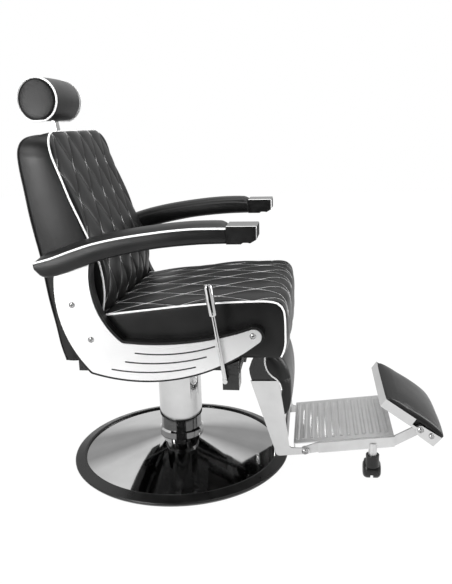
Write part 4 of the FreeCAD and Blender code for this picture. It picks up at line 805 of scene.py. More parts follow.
class LineTree:
    """A Geometry Nodes tree that runs along the edges of a mesh.

    Each kind of tree is built once, with named inputs, and is applied to one
    mesh of lines for each body.
    """

    name = "line"
    inputs: dict[str, float] = {}

    def build(self, tree: Tree, source: bpy.types.Node) -> Socket:
        """The tree's own nodes, between its lines and its last nodes."""
        raise NotImplementedError

    def tree(self) -> Tree:
        """Build the tree once, and hand out the same one after that.

        Returns:
            The node group.
        """
        known = bpy.data.node_groups.get(self.name)
        if known:
            return known
        tree = bpy.data.node_groups.new(self.name, "GeometryNodeTree")
        tree.interface.new_socket("Lines", in_out="INPUT", socket_type="NodeSocketGeometry")
        for label in self.inputs:
            tree.interface.new_socket(label, in_out="INPUT", socket_type="NodeSocketFloat")
        tree.interface.new_socket("Finish", in_out="INPUT", socket_type="NodeSocketMaterial")
        tree.interface.new_socket("Geometry", in_out="OUTPUT", socket_type="NodeSocketGeometry")
        source = add_node(tree, "NodeGroupInput")
        made = self.build(tree, source)
        real = add_node(tree, "GeometryNodeRealizeInstances", None, {"Geometry": made})
        smooth = add_node(tree, "GeometryNodeSetShadeSmooth", None, {"Geometry": real.outputs[0]})
        painted = add_node(tree, "GeometryNodeSetMaterial", None,
                           {"Geometry": smooth.outputs[0], "Material": source.outputs["Finish"]})
        add_node(tree, "NodeGroupOutput", None, {"Geometry": painted.outputs[0]})
        return tree

    def apply(self, name: str, lines: Iterable[Sequence[Vector]], finish: Finish,
              closed: bool = False, **sizes: float) -> bpy.types.Object:
        """Run the tree along some lines and keep the result as a plain mesh.

        Args:
            name: the new object's name.
            lines: the lines, as points in millimetres.
            finish: what it is made of.
            closed: whether each line meets its own start.
            sizes: values of the tree's inputs, in millimetres, by input name.

        Returns:
            The new object.
        """
        points, edges = [], []
        for line in lines:
            start = len(points)
            points.extend(tuple(spot * MM) for spot in line)
            edges.extend((at, at + 1) for at in range(start, len(points) - 1))
            if closed:
                edges.append((len(points) - 1, start))
        mesh = bpy.data.meshes.new(name + "_lines")
        mesh.from_pydata(points, edges, [])
        guide = in_scene(name + "_lines", mesh)
        modifier = guide.modifiers.new(self.name, "NODES")
        modifier.node_group = self.tree()
        values = {**self.inputs, **sizes}
        for item in modifier.node_group.interface.items_tree:
            if item.in_out == "INPUT" and item.name in values:
                modifier[item.identifier] = values[item.name] * MM
            elif item.name == "Finish":
                modifier[item.identifier] = finish.material()
        ready = guide.evaluated_get(bpy.context.evaluated_depsgraph_get())
        made = bpy.data.meshes.new_from_object(ready)
        guide.modifiers.remove(modifier)
        bpy.data.objects.remove(guide)
        made.name = name
        return in_scene(name, made)


class CordTree(LineTree):
    """A round cord along each line, with closed ends."""

    name = "sewn_cord"
    inputs = {"Radius": 2.6}
    sides = 10

    def build(self, tree: Tree, source: bpy.types.Node) -> Socket:
        """Sweep a circle along the lines.

        Args:
            tree: the node group.
            source: its input node.

        Returns:
            The swept geometry.
        """
        curve = add_node(tree, "GeometryNodeMeshToCurve", None, {"Mesh": source.outputs["Lines"]})
        ring = add_node(tree, "GeometryNodeCurvePrimitiveCircle", {"Resolution": self.sides},
                        {"Radius": source.outputs["Radius"]})
        swept = add_node(tree, "GeometryNodeCurveToMesh", {"Fill Caps": True},
                         {"Curve": curve.outputs[0], "Profile Curve": ring.outputs["Curve"]})
        return swept.outputs["Mesh"]


class StitchTree(LineTree):
    """Single stitches, laid end to end along each line with small gaps."""

    name = "sewn_stitches"
    inputs = {"Pitch": 5.4, "Length": 4.9, "Radius": 0.8}
    sides = 6

    def build(self, tree: Tree, source: bpy.types.Node) -> Socket:
        """Stand a short thread on points along the lines.

        Args:
            tree: the node group.
            source: its input node.

        Returns:
            The instances.
        """
        curve = add_node(tree, "GeometryNodeMeshToCurve", None, {"Mesh": source.outputs["Lines"]})
        points = add_node(tree, "GeometryNodeCurveToPoints", None,
                          {"Curve": curve.outputs[0], "Length": source.outputs["Pitch"]},
                          mode="LENGTH")
        thread = add_node(tree, "GeometryNodeMeshCylinder", {"Vertices": self.sides},
                          {"Radius": source.outputs["Radius"], "Depth": source.outputs["Length"]})
        placed = add_node(tree, "GeometryNodeInstanceOnPoints", None,
                          {"Points": points.outputs["Points"], "Instance": thread.outputs["Mesh"],
                           "Rotation": points.outputs["Rotation"]})
        return placed.outputs["Instances"]


class HeadTree(LineTree):
    """A screw at the start of each line, its head pointing along the line.

    The head is a flattened ball over a washer, with a recess cut into its top.
    """

    inputs = {"Radius": 6.0, "Height": 2.5, "Washer": 8.5, "Shank": 3.0, "Depth": 20.0}
    sides = 28
    rings = 12
    shank_sides = 12

    def recess(self, tree: Tree, source: bpy.types.Node) -> list[Socket]:
        """Build the shapes that the head's recess is cut with."""
        raise NotImplementedError

    def share(self, tree: Tree, socket: Socket, factor: float) -> Socket:
        """Multiply a size by a plain number."""
        return add_node(tree, "ShaderNodeMath", {1: factor}, {0: socket}, operation="MULTIPLY").outputs[0]

    def raised(self, tree: Tree, mesh: Socket, height: Socket) -> Socket:
        """Move a mesh up its axis by a size.

        Args:
            tree: the node group.
            mesh: the mesh.
            height: how far it moves.

        Returns:
            The moved mesh.
        """
        lift = add_node(tree, "ShaderNodeCombineXYZ", None, {"Z": height})
        moved = add_node(tree, "GeometryNodeTransform", None,
                         {"Geometry": mesh, "Translation": lift.outputs["Vector"]})
        return moved.outputs["Geometry"]

    def build(self, tree: Tree, source: bpy.types.Node) -> Socket:
        """Stand one screw on the first point of each line.

        Args:
            tree: the node group.
            source: its input node.

        Returns:
            The instances.
        """
        sizes = source.outputs
        ball = add_node(tree, "GeometryNodeMeshUVSphere", {"Segments": self.sides, "Rings": self.rings},
                        {"Radius": sizes["Radius"]})
        flat = add_node(tree, "ShaderNodeMath", None, {0: sizes["Height"], 1: sizes["Radius"]},
                        operation="DIVIDE")
        scale = add_node(tree, "ShaderNodeCombineXYZ", {"X": 1.0, "Y": 1.0}, {"Z": flat.outputs[0]})
        head = add_node(tree, "GeometryNodeTransform", None,
                        {"Geometry": ball.outputs["Mesh"], "Scale": scale.outputs["Vector"]})
        cut = add_node(tree, "GeometryNodeMeshBoolean", None, {"Mesh 1": head.outputs["Geometry"]},
                       operation="DIFFERENCE")
        for shape in self.recess(tree, source):
            tree.links.new(self.raised(tree, shape, sizes["Height"]), cut.inputs["Mesh 2"])
        thin = self.share(tree, sizes["Height"], 0.5)
        washer = add_node(tree, "GeometryNodeMeshCylinder", {"Vertices": self.sides},
                          {"Radius": sizes["Washer"], "Depth": thin})
        shank = add_node(tree, "GeometryNodeMeshCylinder", {"Vertices": self.shank_sides},
                         {"Radius": sizes["Shank"], "Depth": sizes["Depth"]})
        sunk = self.raised(tree, shank.outputs["Mesh"], self.share(tree, sizes["Depth"], -0.5))
        whole = add_node(tree, "GeometryNodeJoinGeometry")
        for part in (sunk, self.raised(tree, washer.outputs["Mesh"], self.share(tree, thin, 0.5)),
                     cut.outputs["Mesh"]):
            tree.links.new(part, whole.inputs[0])
        curve = add_node(tree, "GeometryNodeMeshToCurve", None, {"Mesh": sizes["Lines"]})
        points = add_node(tree, "GeometryNodeCurveToPoints", {"Count": 1}, {"Curve": curve.outputs[0]},
                          mode="COUNT")
        placed = add_node(tree, "GeometryNodeInstanceOnPoints", None,
                          {"Points": points.outputs["Points"], "Instance": whole.outputs[0],
                           "Rotation": points.outputs["Rotation"]})
        return placed.outputs["Instances"]


class CrossHeadTree(HeadTree):
    """Pan-head screws with a cross recess, on cup washers; its bars are shares of the radius."""

    name = "cross_head_screw"
    bar = (1.25, 0.3)

    def recess(self, tree: Tree, source: bpy.types.Node) -> list[Socket]:
        """Build two crossed bars.

        Args:
            tree: the node group.
            source: its input node.

        Returns:
            The bars.
        """
        long, short = (self.share(tree, source.outputs["Radius"], part) for part in self.bar)
        bars = []
        for width, breadth in ((long, short), (short, long)):
            size = add_node(tree, "ShaderNodeCombineXYZ", None,
                            {"X": width, "Y": breadth, "Z": source.outputs["Height"]})
            bar = add_node(tree, "GeometryNodeMeshCube", None, {"Size": size.outputs["Vector"]})
            bars.append(bar.outputs["Mesh"])
        return bars


class SocketHeadTree(HeadTree):
    """Button-head bolts with a hexagon socket, as shares of the radius and the height."""

    name = "socket_head_bolt"
    socket_sides = 6
    socket_size = (0.5, 1.3)

    def recess(self, tree: Tree, source: bpy.types.Node) -> list[Socket]:
        """Build a six-sided bar.

        Args:
            tree: the node group.
            source: its input node.

        Returns:
            The bar, as the only one.
        """
        radius, depth = self.socket_size
        bar = add_node(tree, "GeometryNodeMeshCylinder", {"Vertices": self.socket_sides},
                       {"Radius": self.share(tree, source.outputs["Radius"], radius),
                        "Depth": self.share(tree, source.outputs["Height"], depth)})
        return [bar.outputs["Mesh"]]


CORDS = CordTree()
CROSS_HEADS = CrossHeadTree()
SOCKET_HEADS = SocketHeadTree()
STITCHES = StitchTree()


# Quilting


@dataclass(frozen=True)
class Quilt:
    """A diamond lattice of stitched lines on a panel, by distance along and across it.

    Attributes:
        along: half a diamond's length along the panel.
        across: half a diamond's width across the panel.
        start: distance along at which a crossing lies on the edge.
        edge: distance across of the panel's near edge.
        puff: height of a diamond's middle over its stitched lines.
        steps: rows of stations, and points of a line, along half a diamond.
        end_gap: how far the lines stay from the panel's two ends.
        side_gap: how far they stay from its sides.
        near: how close to a line a point counts as stitched, as a share of a diamond.
        freeing: how soon a point moves freely on its way up from a line.
    """

    along: float
    across: float
    start: float
    edge: float
    puff: float
    steps: int = 24
    end_gap: float = 2.0
    side_gap: float = 3.0
    near: float = 0.01
    freeing: float = 1.5

    @property
    def row(self) -> float:
        """The distance between two rows of stations."""
        return self.along / self.steps

    def cell(self, s: float, y: float) -> tuple[float, float]:
        """Which diamond a point is in, as two numbers that are whole on the lines."""
        first, second = (s - self.start) / self.along / 2, (y - self.edge) / self.across / 2
        return first + second, first - second

    def height(self, s: float, y: float) -> float:
        """Height of the filled surface over the stitched lines."""
        one, two = self.cell(s, y)
        return self.puff * math.sqrt(abs(math.sin(math.pi * one) * math.sin(math.pi * two)))

    def sewn(self, s: float, y: float) -> bool:
        """Whether a point lies on a stitched line."""
        return any(abs(part - round(part)) < self.near for part in self.cell(s, y))

    def give(self, s: float, y: float) -> float:
        """How freely a point moves: not at all on a line, and fully a little way from it."""
        return min(1.0, self.freeing * self.height(s, y) / self.puff)

    def lines(self, reach: float) -> list[list[Point]]:
        """Stitched lines on a panel of some length, as points along and across it.

        Args:
            reach: the panel's length.

        Returns:
            One list of points for each line.
        """
        found = []
        count = math.ceil(-2 * self.edge / self.across * self.steps)
        turns = math.ceil(count / self.steps + reach / self.along)
        for slope, index in itertools.product((1, -1), range(-turns, turns + 1)):
            line = []
            for step in range(count + 1):
                y = self.edge + self.across * step / self.steps
                s = self.start + self.along * (2 * index + slope * step / self.steps)
                if self.end_gap < s < reach - self.end_gap and abs(y) < -self.edge - self.side_gap:
                    line.append((s, y))
            if len(line) > SHORTEST_SEAM:
                found.append(line)
        return found


# Sub-assemblies


class QuiltedCover(Cover):
    """A cover with a quilted panel that follows a line, raised and sewn down in diamonds.

    Attributes:
        path: the line that the panel follows.
        runs: distance along it of each row of stations, or none if the row isn't on it.
        half_width: half its width, away from rounded corners.
        crown: how much its middle stands over its edges.
        lip: height of the padded shoulder behind the piping.
        lip_run: distance over which the shoulder rises.
        edge_run: distance from the piping over which the quilting rises.
        bulge: how much the cover's sides swell out.
        first_row: distance along of the first row of stations.
        spare: length before the panel's end, or its corners, that the rows leave out.
        cord_over: height of the piping's middle over the panel.
        cord_every: how many stations the points of a cord are apart.
        thread_over: height of the stitches' middle over the panel.
        facing: one if the panel faces the line's left, minus one if it faces its right.
        crown_run: distance from the panel's ends over which its crown rises.
        width: half the length over which the panel's direction is averaged.
    """

    path: Path
    runs: Sequence[Optional[float]]
    quilt: Quilt
    half_width: float
    crown: float
    lip: float
    lip_run: float
    edge_run: float
    bulge: float
    first_row: float
    spare: float
    cord_over: float
    cord_every: int
    thread_over: float
    facing = 1
    crown_run = 60.0
    width = 10.0

    def half_at(self, z: float) -> float:
        """Half the panel's width at a height."""
        return self.half_width

    def shoulder(self, share: float, gap: float) -> float:
        """How far the shoulder behind the piping has risen, from nought to one."""
        return risen(gap, self.lip_run)

    def spot(self, s: float, share: float, raised: float = 0.0) -> Vector:
        """Find a point of the quilted panel.

        Args:
            s: distance along the panel.
            share: distance across, as a share of half the width there.
            raised: height over the panel.

        Returns:
            The point in millimetres.
        """
        base = self.path.at(s)
        half = self.half_at(base.y)
        ends, gap = min(s, self.path.length - s), (1 - abs(share)) * half
        lip = self.lip * self.shoulder(share, gap) * risen(ends, self.lip_run)
        crown = self.crown * (1 - share * share) * risen(ends, self.crown_run)
        edge = min(1.0, gap / self.edge_run, ends / self.edge_run)
        lift = lip + crown + self.quilt.height(s, share * half) * edge + raised
        flat = base + self.path.normal(s, self.width) * (self.facing * lift)
        return Vector((flat.x, share * half, flat.y))

    def boarded(self, i: int, k: int) -> bool:
        """Whether a station behind the panel is on the board or in an end seam."""
        return k == 0 or i in (0, self.last[0])

    def across(self, s: float, share: float) -> Point:
        """A place on the panel as distances along and across it."""
        return s, share * self.half_at(self.path.at(s).y)

    def held(self, i: int, j: int, k: int) -> bool:
        """Tell whether a station is on a board, in a seam or under a cord.

        Args:
            i: its number along the panel.
            j: its number across it.
            k: its number through the cover, with the panel as the last.

        Returns:
            Whether it stays where it is.
        """
        if k < self.last[2]:
            return self.boarded(i, k)
        s = self.runs[i]
        if s is None or i in (0, self.last[0]) or j in (0, self.last[1]):
            return True
        return self.quilt.sewn(*self.across(s, self.columns[j]))

    def give(self, i: int, j: int, k: int) -> float:
        """Tell how freely a station moves: not at all on a stitched line.

        Args:
            i: its number along the panel.
            j: its number across it.
            k: its number through the cover, with the panel as the last.

        Returns:
            The share of the filling's move that it takes.
        """
        s = self.runs[i]
        if k < self.last[2] or s is None:
            return 1.0
        return self.quilt.give(*self.across(s, self.columns[j]))

    def seams(self) -> list[list[Vector]]:
        """Lay the quilt's lines on the panel, as far as its sides let them run.

        Returns:
            One list of points for each line, in millimetres.
        """
        found = []
        for line in self.quilt.lines(self.path.length):
            halves = [self.half_at(self.path.at(s).y) for s, _ in line]
            seam = [self.spot(s, y / half, self.thread_over) for (s, y), half in zip(line, halves)
                    if abs(y) < half - self.quilt.side_gap]
            if len(seam) >= SHORTEST_SEAM:
                found.append(seam)
        return found


@dataclass
class SeatCushion(QuiltedCover):
    """Boxed seat cushion, quilted over its top and down its front.

    Attributes:
        lip_square: how square the shoulder is across the seat.
        tuck: how far the underside's front stays behind the panel's end.
        levels: the stations through it, from the underside up.
        profile: its top edge from the rear, over the nose and down the front.
    """

    half_width: float = 262.0
    bottom: float = 422.0
    crown: float = 8.0
    lip: float = 3.0
    lip_run: float = 16.0
    lip_square: float = 14.0
    edge_run: float = 5.0
    bulge: float = 2.0
    tuck: float = 3.0
    first_row: float = 0.83
    spare: float = 1.5
    cord_over: float = 0.6
    cord_every: int = 3
    thread_over: float = 0.5
    coarse: Coarse = ((2, 4), (0, 4), (0, 2))
    quilt: Quilt = Quilt(100.0, 52.4, 5.0, -262.0, 5.0)
    levels: Sequence[float] = (0.0, 0.1, 0.25, 0.4, 0.55, 0.7, 0.85, 0.94, 1.0)
    profile: Sequence[Point] = (
        (-144, 535), (-16, 551), (93, 564), (160, 570), (252, 575), (305, 575), (325, 570),
        (337, 558), (342, 540), (344, 486), (343, 455), (337, 433), (332, 424))

    def __post_init__(self) -> None:
        """Measure the panel and lay out its stations."""
        self.path = Path(self.profile)
        count = int((self.path.length - self.spare) / self.quilt.row)
        rows = (self.first_row + self.quilt.row * at for at in range(count))
        self.runs = [0.0, *rows, self.path.length]
        self.columns = from_side(PANEL_COLUMNS)
        self.counts = (len(self.runs), len(self.columns), len(self.levels))

    def shoulder(self, share: float, gap: float) -> float:
        """How far the shoulder behind the piping has risen, from nought to one."""
        return math.sqrt(max(1 - abs(share) ** self.lip_square, 0.0))

    def place(self, i: int, j: int, k: int) -> Vector:
        """Find where a station of the cushion's block is.

        Args:
            i: its number from the rear to the front.
            j: its number from the right to the left.
            k: its number from the underside to the panel.

        Returns:
            The place in millimetres.
        """
        s, share, level = self.runs[i], self.columns[j], self.levels[k]
        top = self.spot(s, share)
        if k == self.last[2]:
            return top
        rear, front = self.profile[0][0], self.profile[-1][0] - self.tuck
        low = Vector((rear + (front - rear) * s / self.path.length, self.bottom))
        out = self.bulge * bow(level)
        if j in (0, self.last[1]):
            side = low.lerp(self.path.at(s), level)
            return Vector((side.x, share * (self.half_width + out), side.y))
        if k == 0:
            return Vector((low.x, share * self.half_width, low.y))
        flat = low.lerp(Vector((top.x, top.z)), level)
        return Vector((flat.x + (out if i else -out), share * self.half_width, flat.y))

    def make(self) -> None:
        """Build the cushion, its piping and its stitches."""
        self.sew("seat_quilted_cushion", "seat", "seat_cushion", fill=0.85)
        edges = [[self.spot(s, share, self.cord_over) for s in self.runs[::self.cord_every]]
                 for share in (-1.0, 1.0)]
        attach(CORDS.apply("seat_piping", edges, PIPING), "seat")
        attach(STITCHES.apply("seat_stitches", self.seams(), THREAD), "seat")


@dataclass
class BackPad(QuiltedCover):
    """Upholstered back: quilted in front, plain at the sides and rear.

    Attributes:
        corner: radius of its top corners.
        corner_rows: rows of stations round a corner.
        shelf_steps: rows of stations over the shelf.
        through: pieces that it is cut into from the rear to the front.
        hollow: how much the top and the rear's middle swell out.
        shelf_x: how far forward the part below the seat's top reaches.
        shelf_rows: heights of the rows below the shelf.
        shelf_top: height of the shelf where the panel starts.
        shelf_rear: heights of the rear edge opposite the shelf's two ends.
        rear_foot: height of the rear edge opposite the panel's foot.
        face: its front edge, from the foot of the cushion to the top.
        rear: its rear edge, from its lower end to the top.
    """

    half_width: float = 244.0
    corner: float = 70.0
    corner_rows: int = 30
    shelf_steps: int = 4
    through: int = 16
    top: float = 1019.0
    crown: float = 9.0
    lip: float = 5.0
    lip_run: float = 14.0
    edge_run: float = 6.0
    bulge: float = 4.0
    hollow: float = 4.0
    first_row: float = 1.25
    spare: float = 1.0
    shelf_x: float = -228.0
    shelf_rows: Sequence[float] = (398, 410, 425, 445, 465, 485, 505, 520)
    shelf_top: float = 528.0
    shelf_rear: Point = (526.0, 532.0)
    rear_foot: float = 534.0
    cord_over: float = 0.6
    cord_every: int = 4
    welt: float = 2.2
    thread: float = 0.54
    thread_over: float = 0.4
    coarse: Coarse = ((3, 4), (0, 4), (0, 2))
    quilt: Quilt = Quilt(95.0, 48.8, 25.0, -244.0, 8.0)
    face: Sequence[Point] = (
        (-154, 535), (-147, 573), (-145, 601), (-148, 642), (-155, 678), (-178, 739), (-197, 786),
        (-221, 844), (-239, 896), (-256, 944), (-269, 985), (-278, 1019))
    rear: Sequence[Point] = (
        (-266, 398), (-278, 442), (-287, 500), (-300, 571), (-308, 633), (-314, 689), (-325, 749),
        (-334, 803), (-343, 877), (-349, 924), (-351, 960), (-350, 978), (-345, 994), (-336, 1004),
        (-320, 1010))
    facing = -1

    def __post_init__(self) -> None:
        """Measure the panel and lay out the rows of stations, each from a front to a rear point."""
        self.path, self.back = Path(self.face), Path(self.rear)
        self.rows = [(Vector((self.shelf_x, z)), self.rear_at(z)) for z in self.shelf_rows]
        low, high = self.shelf_rear
        for share in from_zero(self.shelf_steps)[:-1]:
            front = Vector((self.shelf_x, self.shelf_top)).lerp(Vector(self.face[0]), share)
            self.rows.append((front, self.rear_at(low + (high - low) * share)))
        bend = self.top - self.corner
        bend_s, end_s = self.path.at_height(bend), self.path.length
        count = math.ceil((bend_s - self.spare - self.first_row) / self.quilt.row)
        places = [0.0, *(self.first_row + self.quilt.row * at for at in range(count))]
        for share in from_zero(self.corner_rows)[:-1]:
            rise = self.corner * math.sin(math.pi / 2 * share)
            places.append(self.path.at_height(bend + rise))
        places.append(end_s)
        self.runs = [None] * len(self.rows) + places
        foot_r, bend_r = self.back.at_height(self.rear_foot), self.back.at_height(bend)
        for s in places:
            if s <= bend_s:
                r = foot_r + (bend_r - foot_r) * s / bend_s
            else:
                r = bend_r + (self.back.length - bend_r) * (s - bend_s) / (end_s - bend_s)
            self.rows.append((self.path.at(s), self.back.at(r)))
        self.columns, self.levels = from_side(PANEL_COLUMNS), from_zero(self.through)
        self.counts = (len(self.rows), len(self.columns), len(self.levels))

    def rear_at(self, z: float) -> Vector:
        """The rear edge's point at a height."""
        return self.back.at(self.back.at_height(z))

    def half_at(self, z: float) -> float:
        """Half the width at a height, less at the rounded corners."""
        over = min(max(z - (self.top - self.corner), 0.0), self.corner)
        return self.half_width - self.corner + math.sqrt(self.corner ** 2 - over ** 2)

    def place(self, i: int, j: int, k: int) -> Vector:
        """Find where a station of the back's block is.

        Args:
            i: its number from the lower end up.
            j: its number from the right to the left.
            k: its number from the rear to the front.

        Returns:
            The place in millimetres.
        """
        (front, rear), s = self.rows[i], self.runs[i]
        share, level = self.columns[j], self.levels[k]
        if k == self.last[2] and s is not None:
            return self.spot(s, share)
        half = self.half_at((front.y + rear.y) / 2 if s is None else front.y)
        flat = rear.lerp(front, level)
        if j in (0, self.last[1]):
            return Vector((flat.x, share * (half + self.bulge * bow(level)), flat.y))
        if k == 0:
            return Vector((flat.x - self.hollow * (1 - share * share), share * half, flat.y))
        if i == 0:
            return Vector((flat.x, share * half, flat.y))
        return Vector((flat.x, share * half, flat.y + self.hollow * bow(level) * (1 - share ** 4)))

    def boarded(self, i: int, k: int) -> bool:
        """Whether a station behind the panel is on the board or in the lower seam."""
        return k < 2 or i == 0

    def make(self) -> None:
        """Build the back, its piping, its welt and its stitches."""
        self.sew("back_quilted_pad", "back", "back_cushion", "back_shell")
        runs = [s for s in self.runs if s is not None]
        up = [self.spot(s, -1.0, self.cord_over) for s in runs]
        over = [self.spot(self.path.length, share, self.cord_over)
                for share in self.columns[1:-1:self.cord_every]]
        down = [self.spot(s, 1.0, self.cord_over) for s in reversed(runs)]
        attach(CORDS.apply("back_piping", [up + over + down], PIPING), "back")
        end, side, _ = self.last
        up = [self.place(i, 0, 0) for i in range(end + 1)]
        over = [self.place(end, j, 0) for j in range(1, side, self.cord_every)]
        down = [self.place(i, side, 0) for i in reversed(range(end + 1))]
        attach(CORDS.apply("back_welt", [up + over + down], WELT, Radius=self.welt), "back")
        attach(STITCHES.apply("back_stitches", self.seams(), THREAD, Radius=self.thread), "back")


class SweptCover(Cover):
    """A cover in even steps between two lines: one along its padded side, one along its board.

    Attributes:
        upper: points of the padded side's line.
        lower: points of the board's line.
        cuts: how many pieces it is cut into along, across and through it.
        crown: how much its padded side stands over its edges.
        bulge: how much its flanks swell out.
        width: half the length over which the padded side's direction is averaged.
        crown_square: how square the crown is across.
        end_run: share of its length over which the crown rises at each end.
    """

    upper: Sequence[Point]
    lower: Sequence[Point]
    cuts: Station
    crown: float
    bulge: float
    crown_square: float
    width = 8.0
    end_run = 1 / 6

    def __post_init__(self) -> None:
        """Measure both lines and lay out the stations."""
        self.top, self.foot = Path(self.upper), Path(self.lower)
        along, across, through = self.cuts
        self.shares, self.columns, self.levels = from_zero(along), from_side(across), from_zero(through)
        self.counts = (along + 1, across + 1, through + 1)

    def rise(self, share: float, across: float) -> Vector:
        """How far the crown lifts a point of the padded side to the left of its line."""
        height = (1 - abs(across) ** self.crown_square) * risen(min(share, 1 - share), self.end_run)
        return self.top.normal(share * self.top.length, self.width) * (self.crown * height)


@dataclass
class ArmPad(SweptCover):
    """One padded arm, swept up from the side board to level at the front.

    Attributes:
        side: which arm it is.
        crown_soft: how softly the crown meets its edges.
        inner_rise: how much its inner edge stands over its outer one.
        under_round: radius of its two lower edges.
        inner_round: radius of its upper inner edge.
        rear_run: length behind which the crown sinks at the rear.
        rear_out: how much its rear end swells out.
        fade: length ahead of the cap over which the crown sinks to the cap's top.
        capped: rows of stations that the cap holds.
        cord_from: the station across the rear at which its piping starts.
        upper: its upper outer edge from the rear.
        lower: its lower outer edge from the rear.
    """

    side: Side
    inner: float = 250.0
    outer: float = 333.0
    crown: float = 11.0
    crown_square: float = 2.4
    crown_soft: float = 0.75
    bulge: float = 3.0
    inner_rise: float = 4.0
    under_round: float = 12.0
    inner_round: float = 15.0
    rear_run: float = 25.0
    rear_out: float = 6.0
    fade: float = 16.0
    width: float = 12.0
    capped: int = 3
    cord_from: int = 2
    cuts: Station = (120, 32, 16)
    coarse: Coarse = ((0, 4), (0, 2), (0, 2))
    upper: Sequence[Point] = (
        (-300, 692), (-254, 704), (-199, 723), (-145, 740), (-92, 752), (-39, 761), (12, 768),
        (63, 774), (114, 778), (151, 779), (202.5, 779))
    lower: Sequence[Point] = (
        (-296, 669), (-285, 657), (-272, 653), (-247, 656), (-154, 687), (-122, 698), (-68, 711),
        (5, 725), (61, 732), (137, 738), (202.5, 740))

    def place(self, i: int, j: int, k: int) -> Vector:
        """Find where a station of the arm's block is.

        Args:
            i: its number from the rear to the front.
            j: its number from the inner to the outer face.
            k: its number from the underside to the top.

        Returns:
            The place in millimetres.
        """
        share, across, level = self.shares[i], self.columns[j], self.levels[k]
        top, foot = self.top.part(share), self.foot.part(share)
        middle, half = (self.inner + self.outer) / 2, (self.outer - self.inner) / 2
        full = (top - foot).length
        reach, over = rounded(across * half, full - level * full, half, full, self.under_round)
        depth = full - over
        if across < 0:
            reach, depth = rounded(reach, depth, half, full, self.inner_round)
        flat = foot.lerp(top, depth / full)
        lift = self.inner_rise * (1 - reach / half) / 2 * depth / full
        ends = min(risen(share * self.top.length, self.rear_run),
                   risen((1 - share) * self.top.length, self.fade))
        if k == self.last[2]:
            puff = self.crown * (1 - abs(reach / half) ** self.crown_square) ** self.crown_soft * ends
            flat = flat + self.top.normal(share * self.top.length, self.width) * puff
        if j in (0, self.last[1]):
            reach += across * self.bulge * bow(level)
        back = 0.0 if i else self.rear_out * bow(level) * (1 - across ** 2)
        return Vector((flat.x - back, (middle + reach) * self.side.value, flat.y + lift * ends))

    def held(self, i: int, j: int, k: int) -> bool:
        """Whether a station is on the arm's board, at its cap or under the piping."""
        piped = k == self.last[2] and (j == self.last[1] or i == 0)
        return piped or k == 0 or i > self.last[0] - self.capped

    def make(self) -> list[Vector]:
        """Build the arm and give the line of its piping.

        Returns:
            The piping's points, from the inner rear corner round the outer edge, in millimetres.
        """
        label = self.side.label
        self.sew(f"arm_cover_{label}", "seat", f"arm_pad_{label}")
        end, side, top = self.last
        rear = [self.place(0, j, top) for j in range(self.cord_from, side)]
        return rear + [self.place(i, side, top) for i in range(end + 1)]


@dataclass
class HeadRoll:
    """Round head roll with piped ends.

    Attributes:
        radius: its radius at the ends, without the cloth.
        half_length: half its length between the end seams.
        bulge: how far its ends swell out.
        end_square: how square the swelling of its ends is.
        barrel: how much thicker its middle is.
        cloth: how far its cloth stands over its ends' rims.
        shoulder: how far the cloth is pulled in at the end seams.
        shoulder_run: share of half its length over which it is pulled in.
        narrow: its depth against its radius.
        tall: its height against its radius.
        flat: how much its underside is flattened.
        end_steps: stations from the middle of an end to its rim.
        run_steps: stations from end to end.
        cord_out: how far the piping lies outside the end seams.
        cord_over: how far the piping lies over the rim.
    """

    x: float = -346.0
    z: float = 1106.0
    radius: float = 59.0
    half_length: float = 97.0
    bulge: float = 5.0
    end_square: float = 2.2
    barrel: float = 2.0
    cloth: float = 2.0
    shoulder: float = 4.0
    shoulder_run: float = 0.125
    narrow: float = 0.985
    tall: float = 1.02
    flat: float = 1.5
    sides: int = 72
    end_steps: int = 12
    run_steps: int = 40
    cord: float = 2.8
    cord_out: float = 2.4
    cord_over: float = 1.8

    def profile(self) -> list[Point]:
        """Walk over the roll from the middle of one end to the middle of the other.

        Returns:
            Pairs of distance across and radius, without the two middles.
        """
        rim = self.radius - self.barrel
        end = []
        for share in from_zero(self.end_steps)[1:-1]:
            out = self.bulge * math.sqrt(1 - share ** self.end_square)
            end.append((self.half_length + out, rim * share))
        run = []
        for share in reversed(from_side(self.run_steps)):
            pulled = self.shoulder * (1 - min(1.0, (1 - abs(share)) / self.shoulder_run)) ** 2
            thick = rim + self.barrel * (1 - share * share) - pulled + self.cloth
            run.append((self.half_length * share, thick))
        return end + run + [(-y, radius) for y, radius in reversed(end)]

    def spot(self, y: float, radius: float, turn: float) -> Vector:
        """Find a point of the roll, slightly taller than wide and flat under itself.

        Args:
            y: distance across.
            radius: distance from the axis.
            turn: angle round the axis.

        Returns:
            The point in millimetres.
        """
        x, z = math.cos(turn) * radius * self.narrow, math.sin(turn) * radius * self.tall
        return Vector((self.x + x, y, self.z + max(z, self.flat - self.radius)))

    def make(self) -> None:
        """Build the roll and the piping round both of its ends."""
        form = bmesh.new()
        turns = [math.tau * at / self.sides for at in range(self.sides)]
        loops = [[form.verts.new(self.spot(y, radius, turn) * MM) for turn in turns]
                 for y, radius in self.profile()]
        out = self.half_length + self.bulge
        poles = [[form.verts.new(Vector((self.x, y, self.z)) * MM)] for y in (out, -out)]
        bridge(form, [poles[0], *loops, poles[1]])
        roll = dress(shaped("head_roll_cover", form), LEATHERETTE)
        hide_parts("head_roll")
        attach(roll, "headrest")
        rim = self.radius - self.barrel + self.cord_over
        rings = [[self.spot(y, rim, turn) for turn in turns]
                 for y in (-self.half_length - self.cord_out, self.half_length + self.cord_out)]
        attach(CORDS.apply("head_roll_piping", rings, PIPING, closed=True, Radius=self.cord), "headrest")
        log.info("head_roll_cover: %d faces", len(roll.data.polygons))


